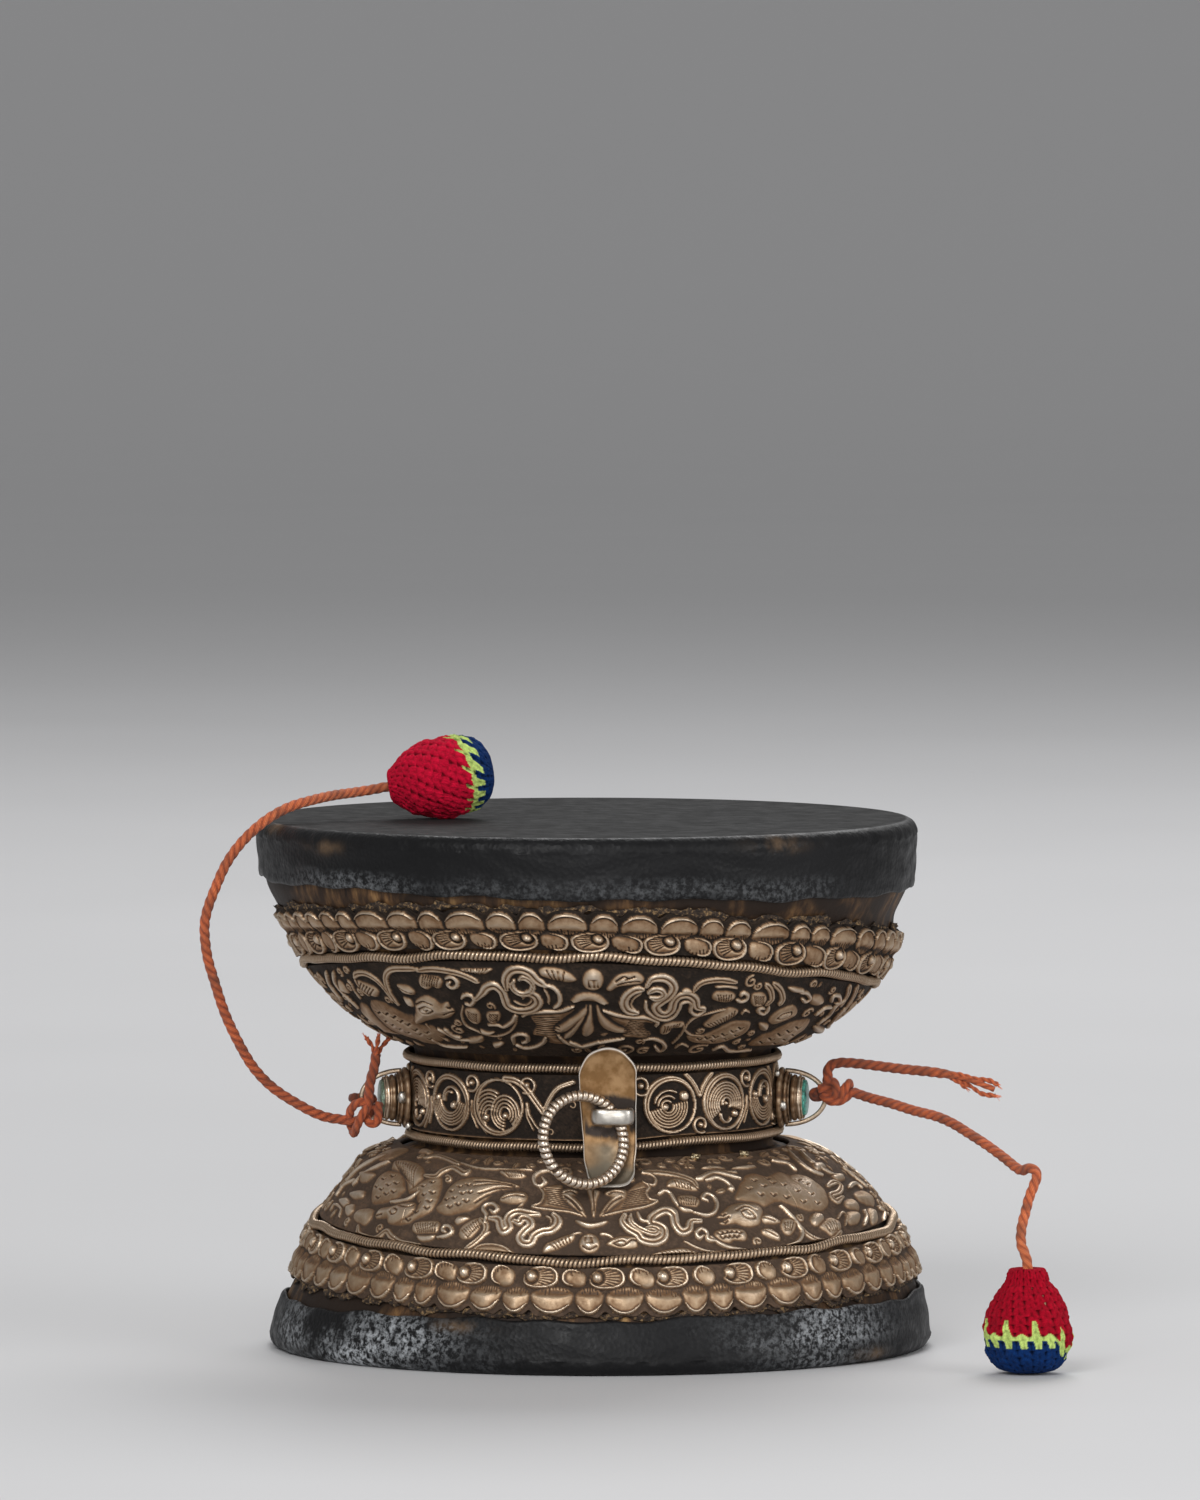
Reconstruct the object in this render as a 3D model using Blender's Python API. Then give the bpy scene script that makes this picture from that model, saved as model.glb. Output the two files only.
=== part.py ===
"""Damaru: a two-headed hand drum with silver jackets, a belt with a ring clasp and two corded strikers.

The origin is the centre of the bottom head's face, +Z is up and the clasp faces -Y. Sizes are in metres.
"""
import math

import bmesh
import bpy
import numpy as np

# Body of the drum
drum_height = 0.102
rim_radius = 0.0627            # wooden rim, under the skin
neck_radius = 0.0344           # wooden waist, under the belt
waist_height = 0.0483          # where the two bowls meet
neck_rise = 0.0090             # straight neck above and below the waist
jacket_margin = 0.0029         # from the neck's surface out to where the jackets begin
lean = -0.0265                 # sideways shift per metre of height, the hand-turned body is not plumb
lower_sway = 0.0015            # the bowls' middles stand to the right of the leaning axis
upper_sway = 0.0013
lower_sway_heights = (0.0, 0.018, 0.031, 0.040)        # a sway grows over the first two and ends over the last two
upper_sway_heights = (0.0566, 0.0600, 0.0760, 0.0860)
rim_round = 0.0012
rim_wall = 0.0050              # wood round the chamber's mouth
upper_floor_rise = 0.0122      # solid wood between the waist and the upper chamber
lower_floor_drop = 0.0143
chamber_power = 2.4
dowel_radius = 0.0075
dowel_depth = 0.0080           # into each bowl
seat_gap = 0.0003              # between pieces that touch

# Skins, jackets and wires
skin_thickness = 0.0008
skin_corner = 0.0007           # rounding of the head's outer corner
jacket_thickness = 0.0012
jacket_wire = 0.0019           # diameter of the milled wires on the jackets
belt_wire = 0.0021
belt_thickness = 0.0012
belt_height = 0.0165           # over both edge wires

# Heights that the crooked hand-fitted edges follow: middle, rise to the front, rise to the right, bow
upper_skin_edge = (0.0896, 0.0006, -0.0012, 0.0)
upper_lotus_edge = (0.0826, 0.0043, -0.0019, 0.0008)
upper_wire_line = (0.0729, 0.0052, -0.0021, 0.0009)
lower_wire_line = (0.0245, -0.0026, 0.0, -0.0004)
lower_lotus_edge = (0.0131, -0.0003, 0.0, -0.0012)
lower_skin_edge = (0.0110, -0.0003, 0.0007, 0.0)

# Bezels on the belt's two sides
bezel_turn = math.radians(82)  # from the front
collar_radius = 0.00575
collar_thickness = 0.0009
step_radius = 0.00445
step_thickness = 0.0014
cup_radius = 0.0042
cup_height = 0.0022
cup_wall = 0.00045
cup_floor = 0.0006
stone_dome = 0.0006            # crown of the stone above its edge
stone_stand = 0.0007           # edge of the stone above the cup's lip
bail_reach = 0.0077            # from the collar to the top of the arch
bail_half_width = 0.0052
bail_thickness = 0.0009
bail_width = 0.0012

# Clasp on the front of the belt
plate_centre_x = 0.0015
plate_half_width = 0.00545
plate_top_reach = 0.0128
plate_bottom_reach = 0.0136
plate_thickness = 0.0009
plate_clearance = 0.0003       # lower end of the plate off the lower jacket
plate_top_lift = 0.0015        # how far the ends turn outwards
plate_bottom_lift = 0.0049
plate_edge_lift = 0.0005
plate_curl = 2.4               # power of the lift towards an end, higher curls later
post_radius = 0.0027
staple_centre_x = 0.0024
staple_drop = 0.0003           # below the middle of the waist
staple_half_width = 0.0040
staple_strap = 0.0010
staple_width = 0.0025
ring_hole_x = 0.0030           # where the wire passes under the staple
ring_half_width = 0.0082       # centreline of the oval ring
ring_half_length = 0.0085
ring_tilt = math.radians(26)   # the far side stands off the plate's turned-out lower end
ring_hole_turn = math.radians(33)
ring_core_radius = 0.00034
wrap_wire_radius = 0.00022
wrap_turns = 46
wrap_points = 8
wrap_open_angle = math.radians(5)

# Cords and strikers
cord_diameter = 0.0020
loop_diameter = 0.0017
point_step = 2.4               # diameters between a cord's points
loop_point_step = 0.5          # the same in the tight loops through the bails
tail_point_step = 1.1          # the same in the short tails of the knots
left_knot_centre = (-0.0453, -0.0105, 0.0449)
left_knot_half = (0.0031, 0.0030, 0.0038)
right_knot_centre = (0.0454, -0.0105, 0.0499)
right_knot_half = (0.0031, 0.0030, 0.0026)
striker_cover = 0.0014         # crocheted cotton
left_striker_length = 0.0206
left_striker_radius = 0.0079
left_striker_x = -0.0306
left_striker_y = -0.0040
left_striker_tilt = math.radians(10)    # its far end stands higher than the cord's
left_striker_lift = 0.0003     # keeps the tilted striker off the head
right_striker_length = 0.0199
right_striker_radius = 0.0085
right_striker_x = 0.0810
right_striker_y = -0.0570
striker_hole_gap = 0.0006      # stretch of the cover round the cord
striker_squareness = 0.85      # power of the side outline, lower is fuller
hinge_step = 0.0005            # joint of a beater along its cord, from the end at the knot

# Mesh fineness
round_segments = 32
small_segments = 12

# Outline of the wooden bowls from the neck to the rim: share of the way out, share of the way along
upper_outline = [
    (0.0, 0.0), (0.058, 0.037), (0.295, 0.120), (0.520, 0.227), (0.701, 0.361), (0.808, 0.491),
    (0.858, 0.595), (0.915, 0.664), (0.972, 0.752), (0.993, 0.900), (1.0, 0.965),
]
lower_outline = [
    (0.0, 0.0), (0.076, 0.019), (0.339, 0.079), (0.4525, 0.159), (0.597, 0.272), (0.718, 0.394),
    (0.816, 0.521), (0.866, 0.630), (0.901, 0.701), (0.940, 0.775), (0.982, 0.881), (1.0, 0.965),
]

# Routes of the free cords, chosen by eye along the real ones
left_cord_route = [
    (-0.0487, -0.0105, 0.0443), (-0.0533, -0.0115, 0.0452), (-0.0580, -0.0128, 0.0476),
    (-0.0628, -0.0143, 0.0509), (-0.0664, -0.0158, 0.0548), (-0.0692, -0.0173, 0.0596),
    (-0.0719, -0.0190, 0.0656), (-0.0739, -0.0204, 0.0720), (-0.0752, -0.0213, 0.0768),
    (-0.0757, -0.0220, 0.0821), (-0.0751, -0.0224, 0.0858), (-0.0735, -0.0226, 0.0901),
    (-0.0714, -0.0224, 0.0947), (-0.0683, -0.0220, 0.0989), (-0.0642, -0.0212, 0.1026),
    (-0.0599, -0.0188, 0.1050), (-0.0555, -0.0152, 0.1062), (-0.0512, -0.0105, 0.1069),
    (-0.0474, -0.0064, 0.1074), (-0.0440, -0.0043, 0.1080), (-0.0418, -0.0040, 0.1085),
    (-0.0396, -0.0040, 0.1089),
]
right_cord_route = [
    (0.0488, -0.0111, 0.0497), (0.0518, -0.0140, 0.0489), (0.0560, -0.0180, 0.0481),
    (0.0601, -0.0220, 0.0471), (0.0641, -0.0260, 0.0464), (0.0673, -0.0295, 0.0453),
    (0.0705, -0.0335, 0.0436), (0.0737, -0.0375, 0.0418), (0.0769, -0.0415, 0.0397),
    (0.0791, -0.0445, 0.0381), (0.0803, -0.0463, 0.0377), (0.0818, -0.0480, 0.0383),
    (0.0829, -0.0495, 0.0372), (0.0823, -0.0508, 0.0352), (0.0814, -0.0519, 0.0330),
    (0.0807, -0.0532, 0.0305), (0.0799, -0.0547, 0.0275), (0.0798, -0.0558, 0.0246),
    (0.0806, -0.0567, 0.0224), (0.0810, -0.0570, 0.0205), (0.0810, -0.0570, 0.0188),
]
left_tail_route = [
    (-0.0444, -0.0116, 0.0492), (-0.0441, -0.0119, 0.0520), (-0.0434, -0.0121, 0.0545),
    (-0.0430, -0.0122, 0.0572),
]
right_tail_route = [
    (0.0438, -0.0109, 0.0530), (0.0440, -0.0109, 0.0545), (0.0458, -0.0111, 0.0554),
    (0.0500, -0.0120, 0.0553), (0.0577, -0.0140, 0.0545), (0.0640, -0.0160, 0.0540),
    (0.0702, -0.0180, 0.0531), (0.0750, -0.0195, 0.0512),
]
# Loops through the bails: distance out from the belt's axis, towards the front, up from the bezel
left_loop_route = [
    (0.0432, 0.0026, -0.0002), (0.0431, 0.0012, 0.0), (0.0432, -0.0002, 0.0), (0.0437, -0.0013, 0.0),
    (0.0450, -0.0019, 0.0), (0.0463, -0.0013, 0.0), (0.0468, -0.0002, 0.0), (0.0469, 0.0012, 0.0),
    (0.0468, 0.0024, 0.0002),
]
right_loop_route = [
    (0.0441, 0.0041, 0.0016), (0.0433, 0.0037, 0.0014), (0.0430, 0.0025, 0.0008), (0.0431, 0.0010, 0.0002),
    (0.0433, -0.0005, 0.0), (0.0440, -0.0016, 0.0), (0.0450, -0.0019, 0.0), (0.0462, -0.0014, 0.0),
    (0.0468, -0.0004, 0.0), (0.0469, 0.0005, 0.0),
]


def clear_scene():
    for old in list(bpy.data.objects):
        bpy.data.objects.remove(old, do_unlink=True)


def finish(name, colour, roughness, metallic):
    material = bpy.data.materials.new(name)
    material.use_nodes = True
    shader = material.node_tree.nodes["Principled BSDF"]
    shader.inputs["Base Color"].default_value = (*colour, 1.0)
    shader.inputs["Roughness"].default_value = roughness
    shader.inputs["Metallic"].default_value = metallic
    material.diffuse_color = (*colour, 1.0)
    return material


def smooth_curve(points, steps):
    """Catmull-Rom curve through the points, with some steps between each two."""
    p = np.array(points, dtype=float)
    p = np.vstack([2 * p[0] - p[1], p, 2 * p[-1] - p[-2]])
    rows = []
    for a, b, c, d in zip(p, p[1:], p[2:], p[3:]):
        for t in np.arange(steps) / steps:
            bend = (2 * a - 5 * b + 4 * c - d) * t ** 2 + (3 * b - a - 3 * c + d) * t ** 3
            rows.append(0.5 * (2 * b + (c - a) * t + bend))
    rows.append(p[-2])
    return np.array(rows)


def even_points(line, step):
    """Points on a dense line, a step apart along it."""
    run = np.concatenate([[0.0], np.cumsum(np.linalg.norm(np.diff(line, axis=0), axis=1))])
    count = max(3, int(round(run[-1] / step)) + 1)
    places = np.linspace(0.0, run[-1], count)
    return np.column_stack([np.interp(places, run, line[:, k]) for k in range(line.shape[1])])


class Half:
    """One bowl's outside, as a curve from the neck to the rim that covers are laid on."""

    def __init__(self, outline, neck_z, rim_z):
        self.way = 1.0 if rim_z > neck_z else -1.0
        shares = np.array(outline)
        radius = neck_radius + (rim_radius - neck_radius) * shares[:, 0]
        height = neck_z + (rim_z - neck_z) * shares[:, 1]
        self.rim_z = rim_z
        self.line = smooth_curve(np.column_stack([radius, height]), 8)
        tight = 24                # the hollow turn from the neck needs more rows than the rest
        rows = list(range(0, tight, 4)) + list(range(tight, len(self.line), 10))
        self.corners = self.line[rows]
        self.run = np.concatenate([[0.0], np.cumsum(np.linalg.norm(np.diff(self.line, axis=0), axis=1))])
        slope = np.gradient(self.line, self.run, axis=0)
        slope /= np.linalg.norm(slope, axis=1)[:, None]
        self.normal = self.way * np.column_stack([slope[:, 1], -slope[:, 0]])

    def at(self, run, off):
        """Point a distance off the wood, at a length along the curve."""
        point = [np.interp(run, self.run, self.line[:, k] + off * self.normal[:, k]) for k in (0, 1)]
        return float(point[0]), float(point[1])

    def run_at(self, height, off):
        """Length along the curve where the surface that far off the wood has this height."""
        z = self.line[:, 1] + off * self.normal[:, 1]
        return float(np.interp(self.way * height, self.way * z, self.run))

    def run_at_radius(self, radius):
        return float(np.interp(radius, self.line[:, 0], self.run))


def level(heights, angle):
    """Height of a crooked edge at an angle from the front, counted towards the right."""
    middle, front, right, bow = heights
    return middle + front * math.cos(angle) + right * math.sin(angle) + bow * math.cos(2 * angle)


def ease(low, high, value):
    share = min(1.0, max(0.0, (value - low) / (high - low)))
    return share * share * (3.0 - 2.0 * share)


def axis_x(height):
    """Sideways place of the body's axis, leaning, and swayed in each bowl."""
    x = lean * height
    for sway, (a, b, c, d) in ((lower_sway, lower_sway_heights), (upper_sway, upper_sway_heights)):
        x += sway * (ease(a, b, height) - ease(c, d, height))
    return x


def on_drum(radius, angle, height):
    return (axis_x(height) + radius * math.sin(angle), -radius * math.cos(angle), height)


def on_axis(centre, direction):
    """Places turned pieces round an axis of their own."""
    d = np.array(direction, dtype=float)
    d /= np.linalg.norm(d)
    side = np.cross(d, (0.0, 0.0, 1.0) if abs(d[2]) < 0.9 else (0.0, 1.0, 0.0))
    side /= np.linalg.norm(side)
    up = np.cross(side, d)

    def place(radius, angle, height):
        spot = np.array(centre) + d * height + radius * (math.cos(angle) * side + math.sin(angle) * up)
        return tuple(spot)

    return place


def add_mesh(name, mesh_data, material, sharp=40.0):
    bmesh.ops.recalc_face_normals(mesh_data, faces=mesh_data.faces)
    mesh = bpy.data.meshes.new(name)
    mesh_data.to_mesh(mesh)
    mesh_data.free()
    mesh.shade_smooth()
    mesh.set_sharp_from_angle(angle=math.radians(sharp))
    mesh.materials.append(material)
    piece = bpy.data.objects.new(name, mesh)
    bpy.context.scene.collection.objects.link(piece)
    return piece


def turned(name, section, material, segments=round_segments, place=on_drum):
    """Closed section carried round an axis. section(angle) lists (radius, height) corners."""
    bm = bmesh.new()
    poles = {}
    rings = []
    for step in range(segments):
        angle = 2 * math.pi * step / segments
        ring = []
        for row, (radius, height) in enumerate(section(angle)):
            if radius > 1e-7:
                ring.append(bm.verts.new(place(radius, angle, height)))
            else:
                if row not in poles:
                    poles[row] = bm.verts.new(place(0.0, 0.0, height))
                ring.append(poles[row])
        rings.append(ring)
    for this, following in zip(rings, rings[1:] + rings[:1]):
        for row in range(len(this)):
            after = (row + 1) % len(this)
            corners = [this[row], this[after], following[after], following[row]]
            unique = list(dict.fromkeys(corners))
            if len(unique) > 2:
                bm.faces.new(unique)
    return add_mesh(name, bm, material)


def loft(name, sections, material, sharp=40.0):
    """Skin over a row of closed sections with equal corner counts, closed at both ends."""
    bm = bmesh.new()
    rings = [[bm.verts.new(tuple(corner)) for corner in section] for section in sections]
    for this, following in zip(rings, rings[1:]):
        for row in range(len(this)):
            after = (row + 1) % len(this)
            bm.faces.new([this[row], this[after], following[after], following[row]])
    bm.faces.new(rings[0])
    bm.faces.new(rings[-1])
    return add_mesh(name, bm, material, sharp)


def tube(name, points, diameter, material, resolution=2, closed=False):
    curve = bpy.data.curves.new(name, "CURVE")
    curve.dimensions = "3D"
    curve.bevel_depth = diameter / 2
    curve.bevel_resolution = resolution
    curve.use_fill_caps = not closed
    spline = curve.splines.new("POLY")
    spline.points.add(len(points) - 1)
    for spot, point in zip(spline.points, points):
        spot.co = (*[float(value) for value in point], 1.0)
    spline.use_cyclic_u = closed
    spline.use_smooth = True
    curve.materials.append(material)
    piece = bpy.data.objects.new(name, curve)
    bpy.context.scene.collection.objects.link(piece)
    return piece


def cord(name, route, diameter, material, step=point_step):
    line = smooth_curve(route, 12)
    return tube(name, even_points(line, step * diameter), diameter, material)


def hinge_place(route):
    """Where a beater's joint lies: a little way along its cord."""
    start, ahead = np.array(route[0]), np.array(route[1])
    return tuple(start + hinge_step * (ahead - start) / np.linalg.norm(ahead - start))


def pivot(name, place, pieces):
    """Empty on a joint's axis that carries its pieces, whose meshes stay where they are."""
    empty = bpy.data.objects.new(name, None)
    empty.empty_display_size = 0.01
    empty.location = place
    bpy.context.scene.collection.objects.link(empty)
    for piece in pieces:
        piece.parent = empty
        piece.location = [-value for value in place]
    return empty


# Two halves of the body
def halves():
    cover = skin_thickness + seat_gap
    upper = Half(upper_outline, waist_height + neck_rise, drum_height - cover)
    lower = Half(lower_outline, waist_height - neck_rise, cover)
    return upper, lower


def bowl(name, half, floor_z, material):
    """Hollow wooden bowl: neck and socket at the waist, chamber open at the rim."""
    way = half.way
    face_z = waist_height + way * seat_gap / 2
    socket_z = waist_height + way * (dowel_depth + seat_gap)
    socket_radius = dowel_radius + seat_gap
    outside = [(neck_radius, face_z)]
    outside += [tuple(corner) for corner in half.corners]
    outside += [(rim_radius - rim_round, half.rim_z)]
    chamber = []
    for share in np.linspace(0.0, 1.0, 6):
        depth = math.sin(share * math.pi / 2)
        radius = (rim_radius - rim_wall) * math.sqrt(max(0.0, 1.0 - depth ** chamber_power))
        chamber.append((radius, half.rim_z + (floor_z - half.rim_z) * depth))
    socket = [(0.0, socket_z), (socket_radius, socket_z), (socket_radius, face_z)]
    profile = outside + chamber + socket
    return turned(name, lambda angle: profile, material)


def skin(name, half, edge, material):
    """Head skin folded over the rim, with a crooked lower edge."""
    inner_off = seat_gap
    outer_off = seat_gap + skin_thickness
    face_out = half.rim_z + half.way * outer_off
    face_in = half.rim_z + half.way * inner_off
    top = half.run[-1]

    def section(angle):
        start = half.run_at(level(edge, angle), outer_off)
        runs = np.linspace(start, top, 3)
        outer = [half.at(run, outer_off) for run in runs]
        inner = [half.at(run, inner_off) for run in runs]
        corner_out = [(rim_radius - rim_round * 0.3 + outer_off * 0.6, face_out - half.way * skin_corner),
                      (rim_radius - rim_round, face_out), (0.0, face_out)]
        corner_in = [(0.0, face_in), (rim_radius - rim_round + inner_off, face_in)]
        return outer + corner_out + corner_in + inner[::-1]

    return turned(name, section, material)


def cover_band(name, half, start, end, rows, material):
    """Sheet laid on the wood. start and end give lengths along the half's curve at an angle."""
    def section(angle):
        shares = np.linspace(0.0, 1.0, rows) ** 1.3
        runs = start(angle) + (end(angle) - start(angle)) * shares
        outer = [half.at(run, seat_gap + jacket_thickness) for run in runs]
        inner = [half.at(run, seat_gap) for run in runs]
        return outer + inner[::-1]

    return turned(name, section, material)


def cover_wire(name, half, line, material):
    """Milled wire that lies on the wood between two sheets."""
    def section(angle):
        off = seat_gap + jacket_wire / 2
        centre = half.at(half.run_at(level(line, angle), off), off)
        return [(centre[0] + jacket_wire / 2 * math.cos(turn), centre[1] + jacket_wire / 2 * math.sin(turn))
                for turn in np.arange(6) * math.pi / 3]

    return turned(name, section, material)


def jackets(half, prefix, wire_line, lotus_edge, silver, bright):
    """Figure jacket, milled wire and lotus band of one bowl."""
    clear = jacket_wire / 2 + seat_gap
    middle = seat_gap + jacket_thickness / 2
    start = half.run_at_radius(neck_radius + jacket_margin)

    def wire_run(angle):
        return half.run_at(level(wire_line, angle), seat_gap + jacket_wire / 2)

    def edge_run(angle):
        return half.run_at(level(lotus_edge, angle), middle)

    cover_band(prefix + "_jacket", half, lambda angle: start, lambda angle: wire_run(angle) - clear, 8, silver)
    cover_wire(prefix + "_milled_wire", half, wire_line, bright)
    cover_band(prefix + "_lotus_band", half, lambda angle: wire_run(angle) + clear, edge_run, 4, silver)


def belt(silver, bright):
    inner = neck_radius + seat_gap
    face = inner + belt_thickness
    half_height = belt_height / 2 - belt_wire - seat_gap
    low, high = waist_height - half_height, waist_height + half_height
    profile = [(face, low), (face, high), (inner, high), (inner, low)]
    turned("belt_band", lambda angle: profile, silver)
    for name, side in (("belt_upper_wire", 1), ("belt_lower_wire", -1)):
        z = waist_height + side * (belt_height - belt_wire) / 2
        radius = inner + belt_wire / 2
        section = [(radius + belt_wire / 2 * math.cos(turn), z + belt_wire / 2 * math.sin(turn))
                   for turn in np.arange(6) * math.pi / 3]
        turned(name, lambda angle, section=section: section, bright)
    return face


def bezel(side, belt_face, silver, bright, stone_colour):
    """Collar, cup, stone and bail on one side of the belt. side is -1 left, 1 right."""
    name = "left" if side < 0 else "right"
    out = np.array((side * math.sin(bezel_turn), -math.cos(bezel_turn), 0.0))
    axis_foot = np.array((lean * waist_height, 0.0, waist_height))
    place = on_axis(axis_foot, out)
    back = belt_face + seat_gap
    step_face = back + collar_thickness + step_thickness
    collar = [(0.0, back), (collar_radius, back), (collar_radius, back + collar_thickness),
              (step_radius, back + collar_thickness), (step_radius, step_face), (0.0, step_face)]
    turned(name + "_bezel_collar", lambda angle: collar, silver, small_segments, place)
    cup_back = step_face + seat_gap
    lip = cup_back + cup_height
    hollow = cup_radius - cup_wall
    cup = [(0.0, cup_back), (cup_radius, cup_back), (cup_radius, lip), (hollow, lip),
           (hollow, cup_back + cup_floor), (0.0, cup_back + cup_floor)]
    turned(name + "_bezel_cup", lambda angle: cup, bright, small_segments, place)
    stone_radius = hollow - seat_gap
    stone_back = cup_back + cup_floor + seat_gap
    edge = lip + stone_stand
    stone = [(0.0, stone_back), (stone_radius, stone_back), (stone_radius, edge - stone_dome),
             (stone_radius * 0.75, edge - stone_dome * 0.25), (0.0, edge)]
    turned(name + "_stone", lambda angle: stone, stone_colour, small_segments, place)
    foot = back + collar_thickness + seat_gap
    across = np.cross(out, (0.0, 0.0, 1.0))
    sections = []
    for turn in np.linspace(0.0, math.pi, 13):
        spot = axis_foot + out * (foot + bail_reach * math.sin(turn))
        spot = spot + np.array((0.0, 0.0, -bail_half_width * math.cos(turn)))
        along = out * bail_reach * math.cos(turn) + np.array((0.0, 0.0, bail_half_width * math.sin(turn)))
        along /= np.linalg.norm(along)
        thick = np.cross(along, across)
        sections.append([spot + bail_width / 2 * a * across + bail_thickness / 2 * b * thick
                         for a, b in ((-1, -1), (1, -1), (1, 1), (-1, 1))])
    loft(name + "_bail", sections, bright)
    return out


def plate_middle():
    """Depth of the plate's middle that keeps its turned-out lower end clear of the lower jacket."""
    lower = halves()[1]
    off = seat_gap + jacket_thickness
    jacket_there = lower.at(lower.run_at(waist_height - plate_bottom_reach, off), off)[0]
    return jacket_there + plate_clearance - plate_bottom_lift


middle_depth = plate_middle()
staple_height = waist_height - staple_drop


def plate_depth(z):
    """How far the middle of the clasp plate's back stands in front of the axis at a height."""
    if z > waist_height:
        return middle_depth + plate_top_lift * ((z - waist_height) / plate_top_reach) ** plate_curl
    return middle_depth + plate_bottom_lift * ((waist_height - z) / plate_bottom_reach) ** plate_curl


def clasp_plate(silver):
    """Oblong plate with round ends, its long edges turned a little to the front."""
    sections = []
    for share in np.linspace(-1.0, 1.0, 15):
        z = waist_height + share * (plate_top_reach if share > 0 else plate_bottom_reach)
        end = max(0.0, (abs(share) - 0.66) / 0.34)
        half_width = plate_half_width * (0.35 + 0.65 * math.sqrt(max(0.0, 1.0 - end ** 2.2)))
        front, back = [], []
        for across in np.linspace(-1.0, 1.0, 5):
            y = -plate_depth(z) - plate_edge_lift * across ** 2
            x = plate_centre_x + across * half_width
            back.append((x, y, z))
            front.append((x, y - plate_thickness, z))
        sections.append(front + back[::-1])
    return loft("clasp_plate", sections, silver)


def clasp_post(belt_face, silver):
    """Round post that carries the plate off the belt."""
    start = belt_face + seat_gap
    end = plate_depth(waist_height) - seat_gap
    place = on_axis((plate_centre_x, 0.0, waist_height), (0.0, -1.0, 0.0))
    profile = [(0.0, start), (post_radius, start), (post_radius, end), (0.0, end)]
    return turned("clasp_post", lambda angle: profile, silver, small_segments, place)


def ring_frame():
    """Hole where the ring's wire passes, the direction of the wire there, and the way in to the centre."""
    spread = np.array((-ring_half_width * math.sin(ring_hole_turn), ring_half_length * math.cos(ring_hole_turn)))
    spread /= np.linalg.norm(spread)
    along = np.array((spread[0], 0.0, spread[1]))
    inward = np.array((-spread[1] * math.cos(ring_tilt), -math.sin(ring_tilt), spread[0] * math.cos(ring_tilt)))
    wire_radius = ring_core_radius + seat_gap + 2 * wrap_wire_radius
    plate_front = plate_depth(staple_height) + plate_thickness
    hole_y = -(plate_front + plate_edge_lift + wire_radius + 2 * seat_gap)
    hole = np.array((ring_hole_x, hole_y, staple_height))
    return hole, along, inward, wire_radius


def ring_point(turn):
    """Point of the ring's centreline: an ellipse turned outwards about its tangent at the hole."""
    hole, along, inward, wire_radius = ring_frame()
    x = ring_half_width * (math.cos(turn) - math.cos(ring_hole_turn))
    z = ring_half_length * (math.sin(turn) - math.sin(ring_hole_turn))
    return hole + (x * along[0] + z * along[2]) * along + (z * along[0] - x * along[2]) * inward


def staple(bright):
    """Half-round strap arched over the ring's wire, its feet on the plate."""
    hole, along, inward, wire_radius = ring_frame()
    foot = plate_depth(staple_height) + plate_thickness + plate_edge_lift + seat_gap
    crown = -hole[1] + wire_radius + seat_gap + staple_strap
    reach = crown - foot - staple_strap / 2
    flat = staple_half_width - staple_strap / 2
    sections = []
    for turn in np.linspace(0.0, math.pi, 13):
        side = -math.copysign(abs(math.cos(turn)) ** 0.45, math.cos(turn))
        rise = abs(math.sin(turn)) ** 0.45
        x = staple_centre_x + flat * side
        y = -(foot + reach * rise)
        sections.append((x, y))
    path = np.array(sections)
    slope = np.gradient(path, axis=0)
    slope /= np.linalg.norm(slope, axis=1)[:, None]
    rings = []
    for (x, y), (dx, dy) in zip(path, slope):
        ring = []
        for up, thick in ((-1, -0.5), (1, -0.5), (1, 0.15), (0.6, 0.5), (-0.6, 0.5), (-1, 0.15)):
            ring.append((x + dy * thick * staple_strap, y - dx * thick * staple_strap,
                         staple_height + up * staple_width / 2))
        rings.append(ring)
    return loft("clasp_staple", rings, bright)


def ring(bright, dark):
    """Oval ring: a bent wire with a finer wire wound round it."""
    core_points = [ring_point(turn) for turn in np.arange(24) * 2 * math.pi / 24]
    core = tube("ring_core", core_points, 2 * ring_core_radius, dark, 1, closed=True)
    across_plane = np.cross(ring_frame()[1], ring_frame()[2])
    helix = ring_core_radius + seat_gap + wrap_wire_radius
    count = wrap_turns * wrap_points
    points = []
    for step in range(count + 1):
        share = step / count
        turn = math.pi * 1.25 + wrap_open_angle + share * (2 * math.pi - 2 * wrap_open_angle)
        spot = ring_point(turn)
        ahead = ring_point(turn + 0.001) - ring_point(turn - 0.001)
        outward = np.cross(ahead / np.linalg.norm(ahead), across_plane)
        curl = 2 * math.pi * wrap_turns * share
        points.append(spot + helix * (math.cos(curl) * outward + math.sin(curl) * across_plane))
    points = np.array(points)
    first = (points[0] - points[1]) / np.linalg.norm(points[0] - points[1])
    last = (points[-1] - points[-2]) / np.linalg.norm(points[-1] - points[-2])
    ends = 2 * wrap_wire_radius
    points = np.vstack([points[0] + ends * first, points, points[-1] + ends * last])
    wrap = tube("ring_wrap", points, 2 * wrap_wire_radius, bright, 1)
    print_least_gap(points, 2 * wrap_wire_radius, wrap_points)
    return core, wrap


def print_least_gap(points, diameter, per_turn):
    """Least gap between one turn of a winding and the next, measured on its points."""
    least = 1.0
    for shift in range(per_turn - 2, 2 * per_turn + 1):
        apart = np.linalg.norm(points[shift:] - points[:-shift], axis=1)
        least = min(least, float(apart.min()))
    print("ring wrap: least gap between turns %.2f mm" % ((least - diameter) * 1000))


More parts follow.
